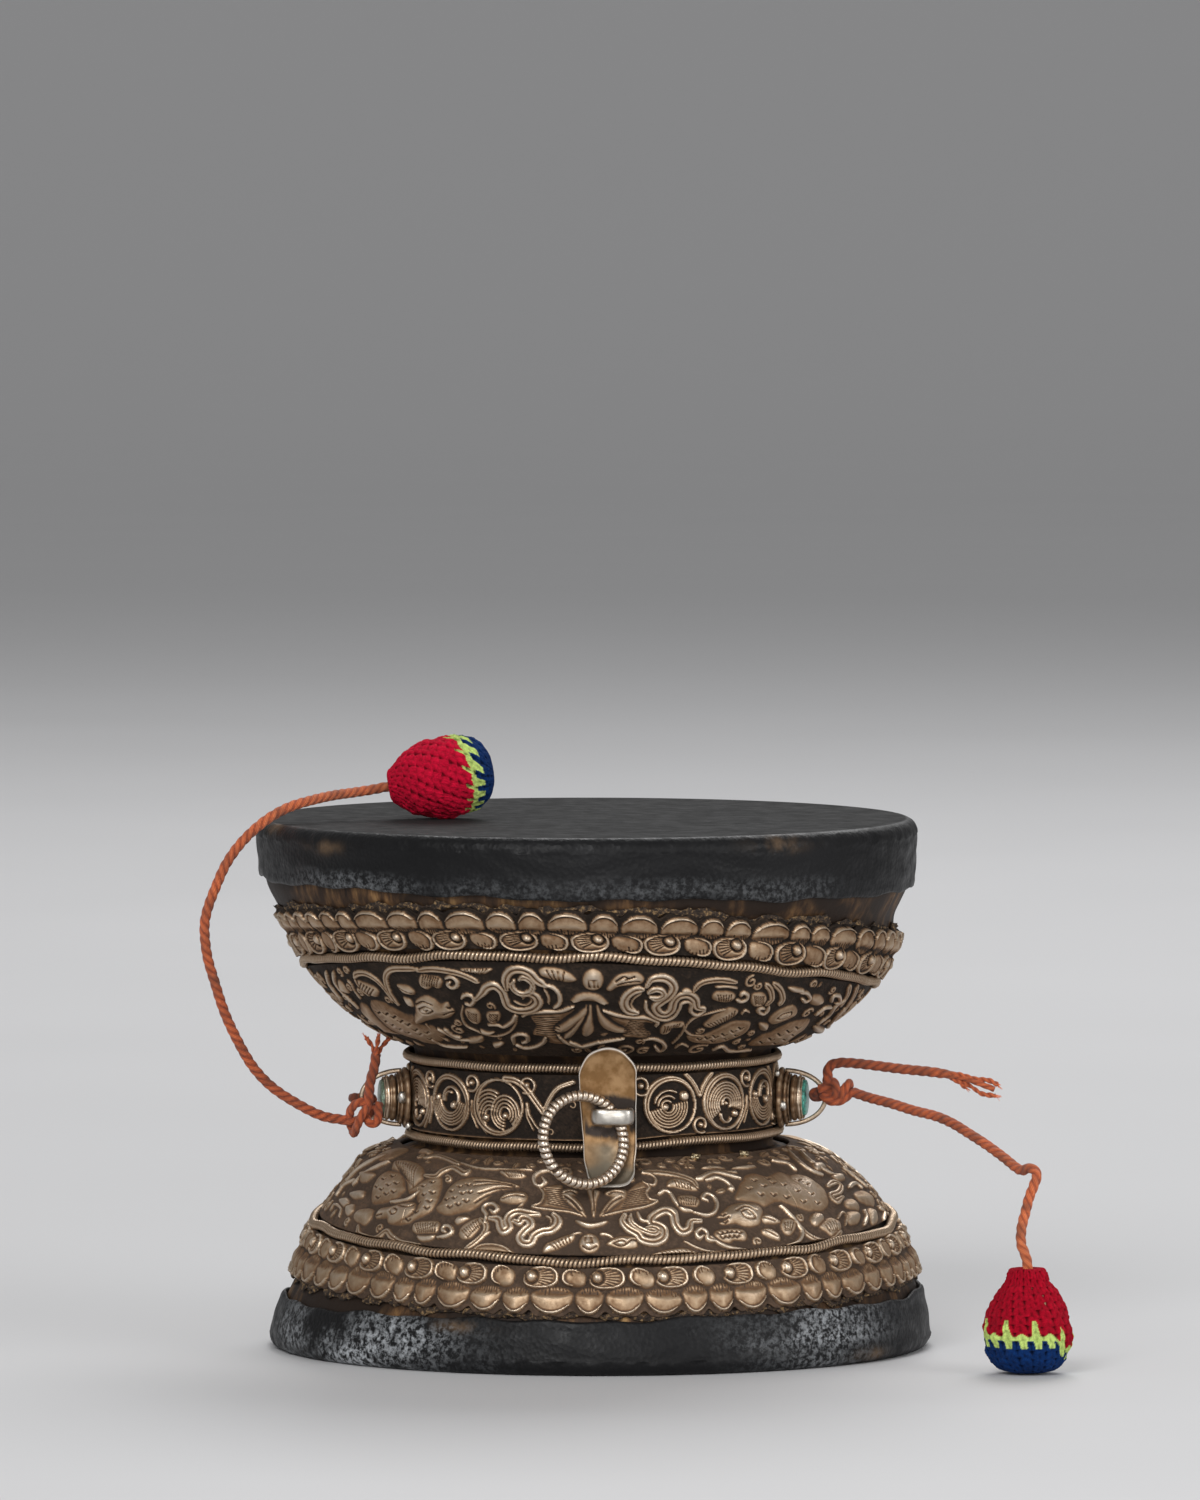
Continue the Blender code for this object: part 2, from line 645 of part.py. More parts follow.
def knot(name, centre, half, material):
    """Tied lump, a little waisted by its crossing strands."""
    place = on_axis((centre[0], centre[1], centre[2] - half[2]), (0.0, 0.0, 1.0))

    def section(angle):
        stretch = math.hypot(half[0] * math.cos(angle), half[1] * math.sin(angle))
        rows = []
        for share in np.linspace(0.0, math.pi, 7):
            radius = stretch * math.sin(share)
            rows.append((radius if math.sin(share) > 1e-6 else 0.0, half[2] * (1 - math.cos(share))))
        return rows

    return turned(name, section, material, small_segments, place)


def striker(name, centre, direction, length, radius, cotton, wood):
    """Egg-shaped crocheted cover with a hole for the cord, and the core it is worked over."""
    place = on_axis(centre, direction)
    hole = cord_diameter / 2 + striker_hole_gap

    def egg(half_length, half_width, start):
        rows = []
        for turn in np.linspace(start, math.pi, 9):
            wide = 0.0 if math.pi - turn < 1e-6 else half_width * math.sin(turn) ** striker_squareness
            rows.append((wide, -half_length * math.cos(turn)))
        return rows

    def start_of(half_width):
        return math.asin((hole / half_width) ** (1 / striker_squareness))

    inner_length, inner_radius = length / 2 - striker_cover, radius - striker_cover
    outer = egg(length / 2, radius, start_of(radius))
    inner = egg(inner_length, inner_radius, start_of(inner_radius))
    cover = turned(name + "_striker_cover", lambda angle: outer + inner[::-1], cotton, 16, place)
    solid = egg(inner_length - seat_gap, inner_radius - seat_gap, 0.0)
    solid[0] = (0.0, solid[0][1])
    core = turned(name + "_striker_core", lambda angle: solid, wood, small_segments, place)
    return [cover, core]


def bezel_route(route, side):
    """A bail loop's route, from the bezel's own directions to the drum's."""
    out = np.array((side * math.sin(bezel_turn), -math.cos(bezel_turn), 0.0))
    front = np.array((-side * math.cos(bezel_turn), -math.sin(bezel_turn), 0.0))
    foot = np.array((lean * waist_height, 0.0, waist_height))
    return [foot + out * a + front * b + np.array((0.0, 0.0, c)) for a, b, c in route]


def build():
    clear_scene()
    wood = finish("dark_wood", (0.060, 0.038, 0.026), 0.55, 0.0)
    hide = finish("lacquered_hide", (0.030, 0.030, 0.032), 0.50, 0.0)
    silver = finish("tarnished_silver", (0.46, 0.39, 0.32), 0.42, 0.9)
    bright = finish("rubbed_silver", (0.70, 0.65, 0.58), 0.32, 1.0)
    tarnish = finish("brown_silver", (0.42, 0.28, 0.17), 0.45, 0.8)
    dark = finish("dark_wire", (0.20, 0.17, 0.15), 0.50, 0.9)
    green_stone = finish("green_turquoise", (0.10, 0.42, 0.33), 0.35, 0.0)
    pale_stone = finish("pale_turquoise", (0.36, 0.48, 0.38), 0.38, 0.0)
    rust = finish("rust_cotton", (0.42, 0.11, 0.045), 0.90, 0.0)
    crimson = finish("crimson_cotton", (0.50, 0.030, 0.050), 0.92, 0.0)

    upper, lower = halves()
    bowl("upper_bowl", upper, waist_height + upper_floor_rise, wood)
    bowl("lower_bowl", lower, waist_height - lower_floor_drop, wood)
    dowel_low = waist_height - dowel_depth
    dowel_high = waist_height + dowel_depth
    dowel = [(0.0, dowel_low), (dowel_radius, dowel_low), (dowel_radius, dowel_high), (0.0, dowel_high)]
    turned("waist_dowel", lambda angle: dowel, wood)
    skin("upper_skin", upper, upper_skin_edge, hide)
    skin("lower_skin", lower, lower_skin_edge, hide)
    jackets(upper, "upper", upper_wire_line, upper_lotus_edge, silver, bright)
    jackets(lower, "lower", lower_wire_line, lower_lotus_edge, silver, bright)
    belt_face = belt(silver, bright)
    bezel(-1, belt_face, silver, bright, pale_stone)
    bezel(1, belt_face, silver, bright, green_stone)
    clasp_plate(tarnish)
    clasp_post(belt_face, silver)
    staple(bright)

    core, wrap = ring(bright, dark)
    pivot("ring_pivot", tuple(ring_point(ring_hole_turn)), [core, wrap])

    knot("left_knot", left_knot_centre, left_knot_half, rust)
    knot("right_knot", right_knot_centre, right_knot_half, rust)
    cord("left_cord_loop", bezel_route(left_loop_route, -1), loop_diameter, rust, loop_point_step)
    cord("right_cord_loop", bezel_route(right_loop_route, 1), loop_diameter, rust, loop_point_step)
    cord("left_cord_tail", left_tail_route, cord_diameter, rust, tail_point_step)
    cord("right_cord_tail", right_tail_route, cord_diameter, rust, tail_point_step)

    left_centre = (left_striker_x, left_striker_y,
                   drum_height + seat_gap + left_striker_radius + left_striker_lift)
    left_along = (math.cos(left_striker_tilt), 0.0, math.sin(left_striker_tilt))
    left = striker("left", left_centre, left_along, left_striker_length, left_striker_radius, crimson, wood)
    left.append(cord("left_cord", left_cord_route, cord_diameter, rust))
    pivot("left_beater_pivot", hinge_place(left_cord_route), left)

    right_centre = (right_striker_x, right_striker_y, seat_gap + right_striker_length / 2)
    right = striker("right", right_centre, (0.0, 0.0, -1.0), right_striker_length, right_striker_radius,
                    crimson, wood)
    right.append(cord("right_cord", right_cord_route, cord_diameter, rust))
    pivot("right_beater_pivot", hinge_place(right_cord_route), right)


build()
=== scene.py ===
# Damaru, a hand drum in silver jackets with two corded strikers: its looks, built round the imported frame.
# Everything is in metres in the frame's own axes: +Z up, the ring clasp towards -Y.
import math

import bpy
import numpy as np
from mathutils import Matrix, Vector


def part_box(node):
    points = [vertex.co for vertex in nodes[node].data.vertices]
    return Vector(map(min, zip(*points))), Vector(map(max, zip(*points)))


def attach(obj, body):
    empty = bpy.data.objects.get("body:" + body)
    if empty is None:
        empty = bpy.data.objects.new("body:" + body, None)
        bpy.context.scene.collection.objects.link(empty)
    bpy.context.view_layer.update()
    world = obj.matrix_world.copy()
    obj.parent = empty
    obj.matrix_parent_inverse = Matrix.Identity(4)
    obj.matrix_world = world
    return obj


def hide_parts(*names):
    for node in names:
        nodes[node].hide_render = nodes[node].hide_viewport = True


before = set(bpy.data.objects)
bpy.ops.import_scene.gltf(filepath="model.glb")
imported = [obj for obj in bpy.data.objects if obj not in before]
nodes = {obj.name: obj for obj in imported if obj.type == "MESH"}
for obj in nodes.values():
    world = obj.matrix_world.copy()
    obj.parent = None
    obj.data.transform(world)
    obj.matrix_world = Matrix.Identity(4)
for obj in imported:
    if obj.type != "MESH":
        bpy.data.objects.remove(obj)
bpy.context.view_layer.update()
print("frame loaded:", len(nodes), "nodes")


# ---- numbers in arrays

def smooth(low, high, value):
    # 0 below low, 1 above high, an S in between
    t = np.clip((value - low) / (high - low), 0.0, 1.0)
    return t * t * (3.0 - 2.0 * t)


def unit(vectors):
    return vectors / np.maximum(np.linalg.norm(vectors, axis=-1, keepdims=True), 1e-12)


def throughPoints(points, steps, closed=False):
    # Catmull-Rom curve: between each two points a cubic whose slopes follow the neighbours
    p = np.array(points, dtype=float)
    if closed:
        p = np.vstack([p[-1], p, p[0], p[1]])
    else:
        p = np.vstack([2 * p[0] - p[1], p, 2 * p[-1] - p[-2]])
    a, b, c, d = p[:-3, None], p[1:-2, None], p[2:-1, None], p[3:, None]
    t = (np.arange(steps) / steps)[None, :, None]
    bend = (2 * a - 5 * b + 4 * c - d) * t ** 2 + (3 * b - a - 3 * c + d) * t ** 3
    line = (0.5 * (2 * b + (c - a) * t + bend)).reshape(-1, p.shape[1])
    return line if closed else np.vstack([line, p[-2]])


def lengthsAlong(line):
    return np.concatenate([[0.0], np.cumsum(np.linalg.norm(np.diff(line, axis=0), axis=1))])


def evenPoints(line, count):
    run = lengthsAlong(line)
    places = np.linspace(0.0, run[-1], count)
    return np.column_stack([np.interp(places, run, line[:, k]) for k in range(line.shape[1])])


def ripple(angle, seed, waves, strength):
    # sum of a few sine waves round a circle, for hand-made unevenness
    dice = np.random.default_rng(seed)
    phase = dice.uniform(0.0, 2 * math.pi, len(waves))
    size = dice.uniform(0.6, 1.0, len(waves))
    return strength * sum(s * np.sin(w * angle + p) for w, p, s in zip(waves, phase, size))


# ---- pieces

def makePiece(name, points, faces, finish, body, stands=(), slot=None, fields=None, sharp=None):
    # faces is a list of whole-number arrays, one row a face
    mesh = bpy.data.meshes.new(name)
    mesh.vertices.add(len(points))
    mesh.vertices.foreach_set("co", np.asarray(points, dtype=np.float32).ravel())
    sizes = np.concatenate([np.full(len(f), f.shape[1]) for f in faces])
    corners = np.concatenate([f.ravel() for f in faces])
    mesh.loops.add(len(corners))
    mesh.loops.foreach_set("vertex_index", corners.astype(np.int32))
    mesh.polygons.add(len(sizes))
    mesh.polygons.foreach_set("loop_start", (np.cumsum(sizes) - sizes).astype(np.int32))
    mesh.update(calc_edges=True)
    mesh.shade_smooth()
    if sharp:
        mesh.set_sharp_from_angle(angle=math.radians(sharp))
    for field, values in (fields or {}).items():
        if values.ndim == 2:
            layer = mesh.attributes.new(field, "FLOAT_COLOR", "POINT")
            layer.data.foreach_set("color", values.astype(np.float32).ravel())
        else:
            layer = mesh.attributes.new(field, "FLOAT", "POINT")
            layer.data.foreach_set("value", values.astype(np.float32))
    mesh.materials.append(finish)
    piece = bpy.data.objects.new(name, mesh)
    bpy.context.scene.collection.objects.link(piece)
    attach(piece, body)
    if stands:
        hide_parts(*stands)
    return piece


def sweep(name, rings, finish, body, closed=False, ends="fan", fields=None, **rest):
    # rings[station, place]: a closed section carried along a path. Quads join neighbouring stations, and the ends
    # of an open path close with a fan to their middle or with one flat face. The signed volume turns faces outwards.
    stations, places = rings.shape[:2]
    index = np.arange(stations * places).reshape(stations, places)
    here = index if closed else index[:-1]
    ahead = np.roll(index, -1, axis=0) if closed else index[1:]
    quads = np.stack([here, np.roll(here, -1, 1), np.roll(ahead, -1, 1), ahead], axis=-1).reshape(-1, 4)
    points = rings.reshape(-1, 3)
    faces = [quads]
    if not closed and ends == "fan":
        points = np.vstack([points, rings[[0, -1]].mean(axis=1)])
        low, high = np.full(places, len(points) - 2), np.full(places, len(points) - 1)
        faces.append(np.stack([low, np.roll(index[0], -1), index[0]], axis=-1))
        faces.append(np.stack([high, index[-1], np.roll(index[-1], -1)], axis=-1))
    elif not closed:
        faces += [index[:1, ::-1].copy(), index[-1:].copy()]
    a, b, c, d = (points[quads[:, k]] - points[0] for k in range(4))
    volume = np.einsum("ij,ij->", a, np.cross(b, c)) + np.einsum("ij,ij->", a, np.cross(c, d))
    if volume < 0:
        faces = [f[:, ::-1] for f in faces]
    whole = {}
    for field, values in (fields or {}).items():
        flat = values.reshape(stations * places, *values.shape[2:])
        if len(points) > len(flat):
            flat = np.concatenate([flat, values[[0, -1]].mean(axis=1)])
        whole[field] = flat
    return makePiece(name, points, faces, finish, body, fields=whole, **rest)


def manySweeps(name, rings, finish, body, fields=None, **rest):
    # rings[piece, station, place]: many small open tubes in one mesh, each closed by a fan at both ends
    pieces, stations, places = rings.shape[:3]
    whole = stations * places + 2
    index = np.arange(stations * places).reshape(stations, places)
    here, ahead = index[:-1], index[1:]
    quads = np.stack([here, np.roll(here, -1, 1), np.roll(ahead, -1, 1), ahead], axis=-1).reshape(-1, 4)
    low, high = np.full(places, whole - 2), np.full(places, whole - 1)
    fans = np.concatenate([np.stack([low, np.roll(index[0], -1), index[0]], axis=-1),
                           np.stack([high, index[-1], np.roll(index[-1], -1)], axis=-1)])
    points = np.concatenate([rings.reshape(pieces, -1, 3), rings[:, [0, -1]].mean(axis=2)], axis=1)
    a, b, c, d = (points[0][quads[:, k]] - points[0][0] for k in range(4))
    if np.einsum("ij,ij->", a, np.cross(b, c)) + np.einsum("ij,ij->", a, np.cross(c, d)) < 0:
        quads, fans = quads[:, ::-1], fans[:, ::-1]
    shift = (np.arange(pieces) * whole)[:, None, None]
    faces = [(quads[None] + shift).reshape(-1, 4), (fans[None] + shift).reshape(-1, 3)]
    flat = {field: np.concatenate([values.reshape(pieces, -1), values[:, [0, -1]].mean(axis=2)], axis=1).ravel()
            for field, values in (fields or {}).items()}
    return makePiece(name, points.reshape(-1, 3), faces, finish, body, fields=flat, **rest)


def pathFrames(path, across):
    # Tangent, side and up along a path, kept square to a direction (or one direction a point) across it
    tangent = unit(np.gradient(path, axis=0))
    side = unit(np.cross(tangent, across))
    return tangent, side, np.cross(side, tangent)


# ---- finishes

class Finish:
    # A material whose nodes are added one after another
    def __init__(self, name, colour=(0.5, 0.5, 0.5), roughness=0.5, metallic=0.0, **sockets):
        self.material = bpy.data.materials.new(name)
        self.material.use_nodes = True
        self.tree = self.material.node_tree
        self.shader = self.tree.nodes["Principled BSDF"]
        self.set("Base Color", (*colour, 1.0))
        self.set("Roughness", roughness)
        self.set("Metallic", metallic)
        for socket, value in sockets.items():
            self.set(socket, value)
        self.place = self.add("ShaderNodeTexCoord").outputs["Object"]

    def set(self, socket, value):
        self.put(self.shader.inputs[socket], value)

    def put(self, socket, value):
        if isinstance(value, bpy.types.NodeSocket):
            self.tree.links.new(value, socket)
        else:
            socket.default_value = value

    def add(self, kind, inputs=None, **settings):
        node = self.tree.nodes.new(kind)
        for key, value in settings.items():
            setattr(node, key, value)
        for key, value in (inputs or {}).items():
            self.put(node.inputs[key], value)
        return node

    def field(self, name, colour=False):
        node = self.add("ShaderNodeAttribute", attribute_name=name)
        return node.outputs["Color" if colour else "Fac"]

    def noise(self, scale, detail=3.0, roughness=0.55, where=None, distortion=0.0):
        node = self.add("ShaderNodeTexNoise", {"Vector": where or self.place, "Scale": scale, "Detail": detail,
                                               "Roughness": roughness, "Distortion": distortion})
        return node.outputs["Fac"]

    def cells(self, scale, feature="F1", where=None):
        node = self.add("ShaderNodeTexVoronoi", {"Vector": where or self.place, "Scale": scale}, feature=feature)
        return node.outputs["Distance"]

    def sum(self, operation, a, b, c=None, clamp=False):
        node = self.add("ShaderNodeMath", operation=operation, use_clamp=clamp)
        for socket, value in zip(node.inputs, (a, b, c)):
            if value is not None:
                self.put(socket, value)
        return node.outputs[0]

    def remap(self, value, fromLow, fromHigh, toLow=0.0, toHigh=1.0):
        node = self.add("ShaderNodeMapRange", {"Value": value, "From Min": fromLow, "From Max": fromHigh,
                                               "To Min": toLow, "To Max": toHigh})
        return node.outputs["Result"]

    def ramp(self, value, stops):
        node = self.add("ShaderNodeValToRGB", {"Fac": value})
        elements = node.color_ramp.elements
        while len(elements) < len(stops):
            elements.new(0.5)
        for element, (place, colour) in zip(elements, stops):
            element.position = place
            element.color = (*colour, 1.0)
        return node.outputs["Color"]

    def mix(self, share, a, b, blend="MIX"):
        node = self.add("ShaderNodeMix", data_type="RGBA", blend_type=blend)
        self.put(node.inputs["Factor"], share)
        for key, value in (("A", a), ("B", b)):
            socket = [s for s in node.inputs if s.name == key and s.type == "RGBA"][0]
            self.put(socket, (*value, 1.0) if isinstance(value, tuple) and len(value) == 3 else value)
        return [s for s in node.outputs if s.type == "RGBA"][0]

    def stretched(self, scale, where=None):
        node = self.add("ShaderNodeMapping", {"Vector": where or self.place, "Scale": scale})
        return node.outputs["Vector"]

    def bump(self, height, distance, strength=1.0):
        previous = self.shader.inputs["Normal"]
        inputs = {"Height": height, "Distance": distance, "Strength": strength}
        if previous.is_linked:
            inputs["Normal"] = previous.links[0].from_socket
        self.set("Normal", self.add("ShaderNodeBump", inputs).outputs["Normal"])


def agedSilver(name, ground=0.030, middle=(0.20, 0.110, 0.055), bright=(0.72, 0.595, 0.465), shine=0.0,
               smoothest=0.30):
    # Patina by the field "polish": black-brown matt dirt in the hollows, rusty brown up their sides, worn silver on top
    f = Finish(name, **{"Specular IOR Level": 0.22})
    polish = f.field("polish")
    patchy = f.noise(90.0, 4.0, 0.6)
    fine = f.noise(900.0, 3.0, 0.6)
    worn = f.sum("ADD", polish, f.remap(patchy, 0.25, 0.75, -0.11, 0.11))
    worn = f.sum("ADD", worn, f.remap(fine, 0.25, 0.75, -0.08, 0.08), clamp=True)
    worn = f.sum("ADD", worn, shine, clamp=True)
    tone = f.ramp(worn, [(0.0, (0.5 * ground, 0.34 * ground, 0.24 * ground)),
                         (0.20, (1.5 * ground, 0.95 * ground, 0.62 * ground)), (0.38, middle),
                         (0.60, (0.44, 0.315, 0.205)), (1.0, bright)])
    f.set("Base Color", tone)
    f.set("Roughness", f.remap(worn, 0.1, 0.9, 0.80, smoothest))
    f.set("Metallic", f.remap(worn, 0.15, 0.55, 0.10, 0.95))
    f.bump(f.noise(2600.0, 2.0, 0.7), 0.00010, 0.5)
    f.bump(f.noise(420.0, 3.0, 0.6), 0.00016, 0.5)
    return f.material


finishes = {}


def makeFinishes():
    # the lower jacket's copy has a lighter ground and a little added polish; the upper jacket's copy has a darker
    # ground, a dimmer top and a rougher finish. They are a lit and a shaded copy of one silver: painted shade on the
    # downward-facing upper jacket
    finishes["silver"] = agedSilver("aged_silver", ground=0.074, shine=0.07, smoothest=0.36)
    finishes["upperSilver"] = agedSilver("aged_silver_upper_painted_shade", ground=0.032, bright=(0.61, 0.505, 0.395), smoothest=0.42)
    finishes["beltSilver"] = agedSilver("aged_silver_belt", ground=0.030)
    finishes["wire"] = agedSilver("milled_silver", middle=(0.25, 0.165, 0.105))
    finishes["ringWire"] = agedSilver("ring_silver", middle=(0.22, 0.155, 0.105), bright=(0.66, 0.57, 0.48))

    f = Finish("old_grime", roughness=0.95)
    lumps = f.noise(1300.0, 4.0, 0.7)
    f.set("Base Color", f.ramp(lumps, [(0.35, (0.010, 0.007, 0.005)), (0.52, (0.045, 0.028, 0.018)),
                                       (0.66, (0.30, 0.19, 0.085))]))
    f.bump(lumps, 0.0004, 0.9)
    finishes["grime"] = f.material

    f = Finish("bare_wood", roughness=0.62, **{"Specular IOR Level": 0.22})
    streaks = f.noise(14.0, 5.0, 0.6, f.stretched((30.0, 30.0, 4.0)))
    blotches = f.noise(60.0, 3.0, 0.6)
    tone = f.ramp(streaks, [(0.30, (0.014, 0.007, 0.004)), (0.46, (0.060, 0.031, 0.015)), (0.58, (0.17, 0.088, 0.036)),
                            (0.74, (0.42, 0.25, 0.10))])
    f.set("Base Color", f.mix(f.remap(blotches, 0.46, 0.66), (0.018, 0.010, 0.006), tone))
    f.bump(streaks, 0.0003, 0.5)
    finishes["wood"] = f.material

    for key, strong in (("hideUpper", 0.0), ("hideLower", 1.0)):
        f = Finish("black_hide_" + key[4:].lower(), roughness=0.5, **{"Specular IOR Level": 0.20})
        dust = f.field("dust")
        cloud = f.noise(55.0, 5.0, 0.65)
        speck = f.noise(900.0, 3.0, 0.75)
        grain = f.cells(1100.0)
        chalk = f.sum("MULTIPLY", dust, f.remap(cloud, 0.36, 0.60))
        chalk = f.sum("MULTIPLY", chalk, f.remap(speck, 0.43, 0.62), clamp=True)
        black = f.mix(f.remap(f.noise(24.0, 3.0), 0.35, 0.75), (0.0035, 0.0035, 0.004), (0.010, 0.010, 0.011))
        # the head's top face is painted a lighter grey than the black sides: a painted reflection on the top face
        black = f.mix(f.sum("MULTIPLY", f.field("face"), 0.7), black, (0.022, 0.022, 0.022))
        brown = f.mix(f.sum("MULTIPLY", f.field("worn"), f.remap(f.noise(140.0, 4.0), 0.4, 0.62), clamp=True),
                      black, (0.16, 0.10, 0.055))
        f.set("Base Color", f.mix(chalk, brown, (0.42, 0.44, 0.46)))
        f.set("Roughness", f.sum("MULTIPLY_ADD", f.field("face"), 0.35,
                                 f.remap(f.noise(300.0, 3.0), 0.3, 0.7, 0.38, 0.58)))
        f.bump(grain, 0.00012, 0.7)
        f.bump(cloud, 0.0004, 0.3)
        finishes[key] = f.material

    f = Finish("tarnished_plate", metallic=0.9)
    rim, solderAndShade = f.field("rim"), f.field("solderAndShade")
    warm = f.mix(f.remap(f.noise(420.0, 4.0), 0.4, 0.65), (0.24, 0.130, 0.052), (0.40, 0.245, 0.120))
    # paler grey below the staple, strongest along the middle and full at the lower end: a painted reflection of the
    # pale floor on the upward-facing lower end
    base = f.mix(f.field("paintedReflection"), warm, (0.165, 0.138, 0.100))
    # dark patches round the staple: solder and tarnish, with a painted shadow of the staple in the patch under it
    base = f.mix(f.sum("MULTIPLY", solderAndShade, f.remap(f.noise(900.0, 3.0), 0.1, 0.4)), base, (0.045, 0.035, 0.030))
    # a pale band along the plate's edge: a painted highlight where the edge catches the light
    f.set("Base Color", f.mix(rim, base, (0.80, 0.77, 0.72)))
    f.set("Roughness", f.remap(f.noise(700.0, 3.0), 0.3, 0.7, 0.42, 0.60))
    f.bump(f.noise(900.0, 3.0, 0.6), 0.00005, 0.3)
    finishes["plate"] = f.material

    f = Finish("worn_silver", metallic=1.0)
    f.set("Base Color", f.ramp(f.noise(700.0, 4.0), [(0.3, (0.40, 0.37, 0.33)), (0.7, (0.60, 0.57, 0.52))]))
    f.set("Roughness", f.remap(f.noise(500.0, 3.0), 0.3, 0.7, 0.27, 0.42))
    f.bump(f.noise(1800.0, 3.0), 0.00006, 0.4)
    finishes["bright"] = f.material

    for key, light, deep in (("stoneLeft", (0.34, 0.47, 0.36), (0.12, 0.17, 0.10)),
                             ("stoneRight", (0.16, 0.62, 0.50), (0.06, 0.34, 0.27))):
        f = Finish(key, roughness=0.30)
        veins = f.cells(900.0, "DISTANCE_TO_EDGE")
        body = f.mix(f.remap(f.noise(500.0, 4.0), 0.3, 0.7), deep, light)
        f.set("Base Color", f.mix(f.remap(veins, 0.0, 0.06), (0.06, 0.045, 0.03), body))
        f.bump(veins, 0.00005, 0.4)
        finishes[key] = f.material

    f = Finish("twisted_cotton", roughness=0.92, **{"Sheen Weight": 0.12, "Sheen Roughness": 0.5})
    ply = f.field("ply")
    fibre = f.sum("SINE", f.field("lane"), None)
    fuzz = f.noise(1600.0, 4.0, 0.7)
    strand = f.sum("ADD", f.sum("MULTIPLY", fuzz, 0.5), f.sum("MULTIPLY", fibre, 0.15))
    # each ply's crown is painted lighter and the grooves between plies darker: painted shade in the grooves
    light = f.sum("ADD", f.sum("MULTIPLY", ply, 0.36), strand)
    light = f.sum("ADD", light, f.remap(f.field("fresh"), 0.0, 1.0, -0.12, 0.30))
    tone = f.ramp(light, [(0.15, (0.13, 0.024, 0.009)), (0.42, (0.40, 0.072, 0.022)), (0.72, (0.68, 0.150, 0.045)),
                          (1.0, (0.90, 0.28, 0.11))])
    grime = f.sum("MULTIPLY", f.field("grime"), f.remap(f.noise(300.0, 3.0), 0.3, 0.6), clamp=True)
    f.set("Base Color", f.mix(grime, tone, (0.12, 0.040, 0.022)))
    f.bump(fibre, 0.00012, 0.55)
    f.bump(fuzz, 0.00012, 0.6)
    finishes["cotton"] = f.material

    f = Finish("crochet_cotton", roughness=0.9, **{"Sheen Weight": 0.02, "Specular IOR Level": 0.06})
    yarn = f.field("yarn", colour=True)
    fuzz = f.noise(1500.0, 4.0, 0.75)
    # the yarn is painted darker where the stitches sink and lighter where they stand up: painted shade in the grooves
    # between stitches
    depth = f.remap(f.field("loft"), 0.0, 1.0, 0.35, 1.12)
    shade = f.sum("MULTIPLY", depth, f.remap(fuzz, 0.25, 0.75, 0.72, 1.25))
    grey = f.add("ShaderNodeCombineColor", {"Red": shade, "Green": shade, "Blue": shade}).outputs["Color"]
    f.set("Base Color", f.mix(1.0, yarn, grey, "MULTIPLY"))
    f.bump(f.sum("SINE", f.field("lane"), None), 0.00010, 0.6)
    f.bump(fuzz, 0.00022, 0.8)
    finishes["crochet"] = f.material

    f = Finish("brass_nail", metallic=1.0)
    f.set("Base Color", f.ramp(f.noise(1200.0, 4.0), [(0.35, (0.24, 0.19, 0.11)), (0.7, (0.66, 0.56, 0.38))]))
    f.set("Roughness", f.remap(f.noise(600.0, 3.0), 0.3, 0.7, 0.35, 0.6))
    finishes["brass"] = f.material

    f = Finish("striker_wood", roughness=0.6)
    f.set("Base Color", f.ramp(f.noise(60.0, 4.0, 0.6, f.stretched((1.0, 1.0, 6.0))),
                               [(0.3, (0.26, 0.16, 0.08)), (0.7, (0.48, 0.33, 0.19))]))
    finishes["turned"] = f.material


makeFinishes()
print("finishes made:", len(finishes))


# ---- the drum's body

drum = {
    "height": 0.102,
    "rimRadius": 0.0627,          # wood under the skin
    "neckRadius": 0.0344,
    "waistHeight": 0.0483,
    "neckRise": 0.0090,
    "lean": -0.0265,              # sideways for each metre up
    # the bowls' middles stand to the right of the leaning axis: how far, and the heights of its rise and fall
    "sways": ((0.0015, (0.0, 0.018, 0.031, 0.040)), (0.0013, (0.0566, 0.0600, 0.0760, 0.0860))),
    "gap": 0.0003,
    "sheet": 0.0012,              # thickness of the jackets
    "skin": 0.0008,
    "jacketMargin": 0.0029,
    "wire": 0.0019,
    "upperOutline": [(0.0, 0.0), (0.058, 0.037), (0.295, 0.120), (0.520, 0.227), (0.701, 0.361), (0.808, 0.491),
                     (0.858, 0.595), (0.915, 0.664), (0.972, 0.752), (0.993, 0.900), (1.0, 0.965)],
    "lowerOutline": [(0.0, 0.0), (0.076, 0.019), (0.339, 0.079), (0.4525, 0.159), (0.597, 0.272), (0.718, 0.394),
                     (0.816, 0.521), (0.866, 0.630), (0.901, 0.701), (0.940, 0.775), (0.982, 0.881), (1.0, 0.965)],
    # crooked edges: middle, rise to the front, rise to the right, bow
    "upperSkinEdge": (0.0896, 0.0006, -0.0012, 0.0),
    "upperLotusEdge": (0.0826, 0.0043, -0.0019, 0.0008),
    "upperWireLine": (0.0729, 0.0052, -0.0021, 0.0009),
    "lowerWireLine": (0.0245, -0.0026, 0.0, -0.0004),
    "lowerLotusEdge": (0.0131, -0.0003, 0.0, -0.0012),
    "lowerSkinEdge": (0.0110, -0.0003, 0.0007, 0.0),
}


def level(heights, angle):
    middle, front, right, bow = heights
    return middle + front * np.cos(angle) + right * np.sin(angle) + bow * np.cos(2 * angle)


def axisX(height):
    # sideways place of the body's axis: leaning, and swayed to the right in each bowl
    x = drum["lean"] * height
    for sway, (a, b, c, d) in drum["sways"]:
        x = x + sway * (smooth(a, b, height) - smooth(c, d, height))
    return x


def onDrum(radius, angle, height):
    return np.stack([axisX(height) + radius * np.sin(angle), -radius * np.cos(angle), height + 0 * angle], axis=-1)


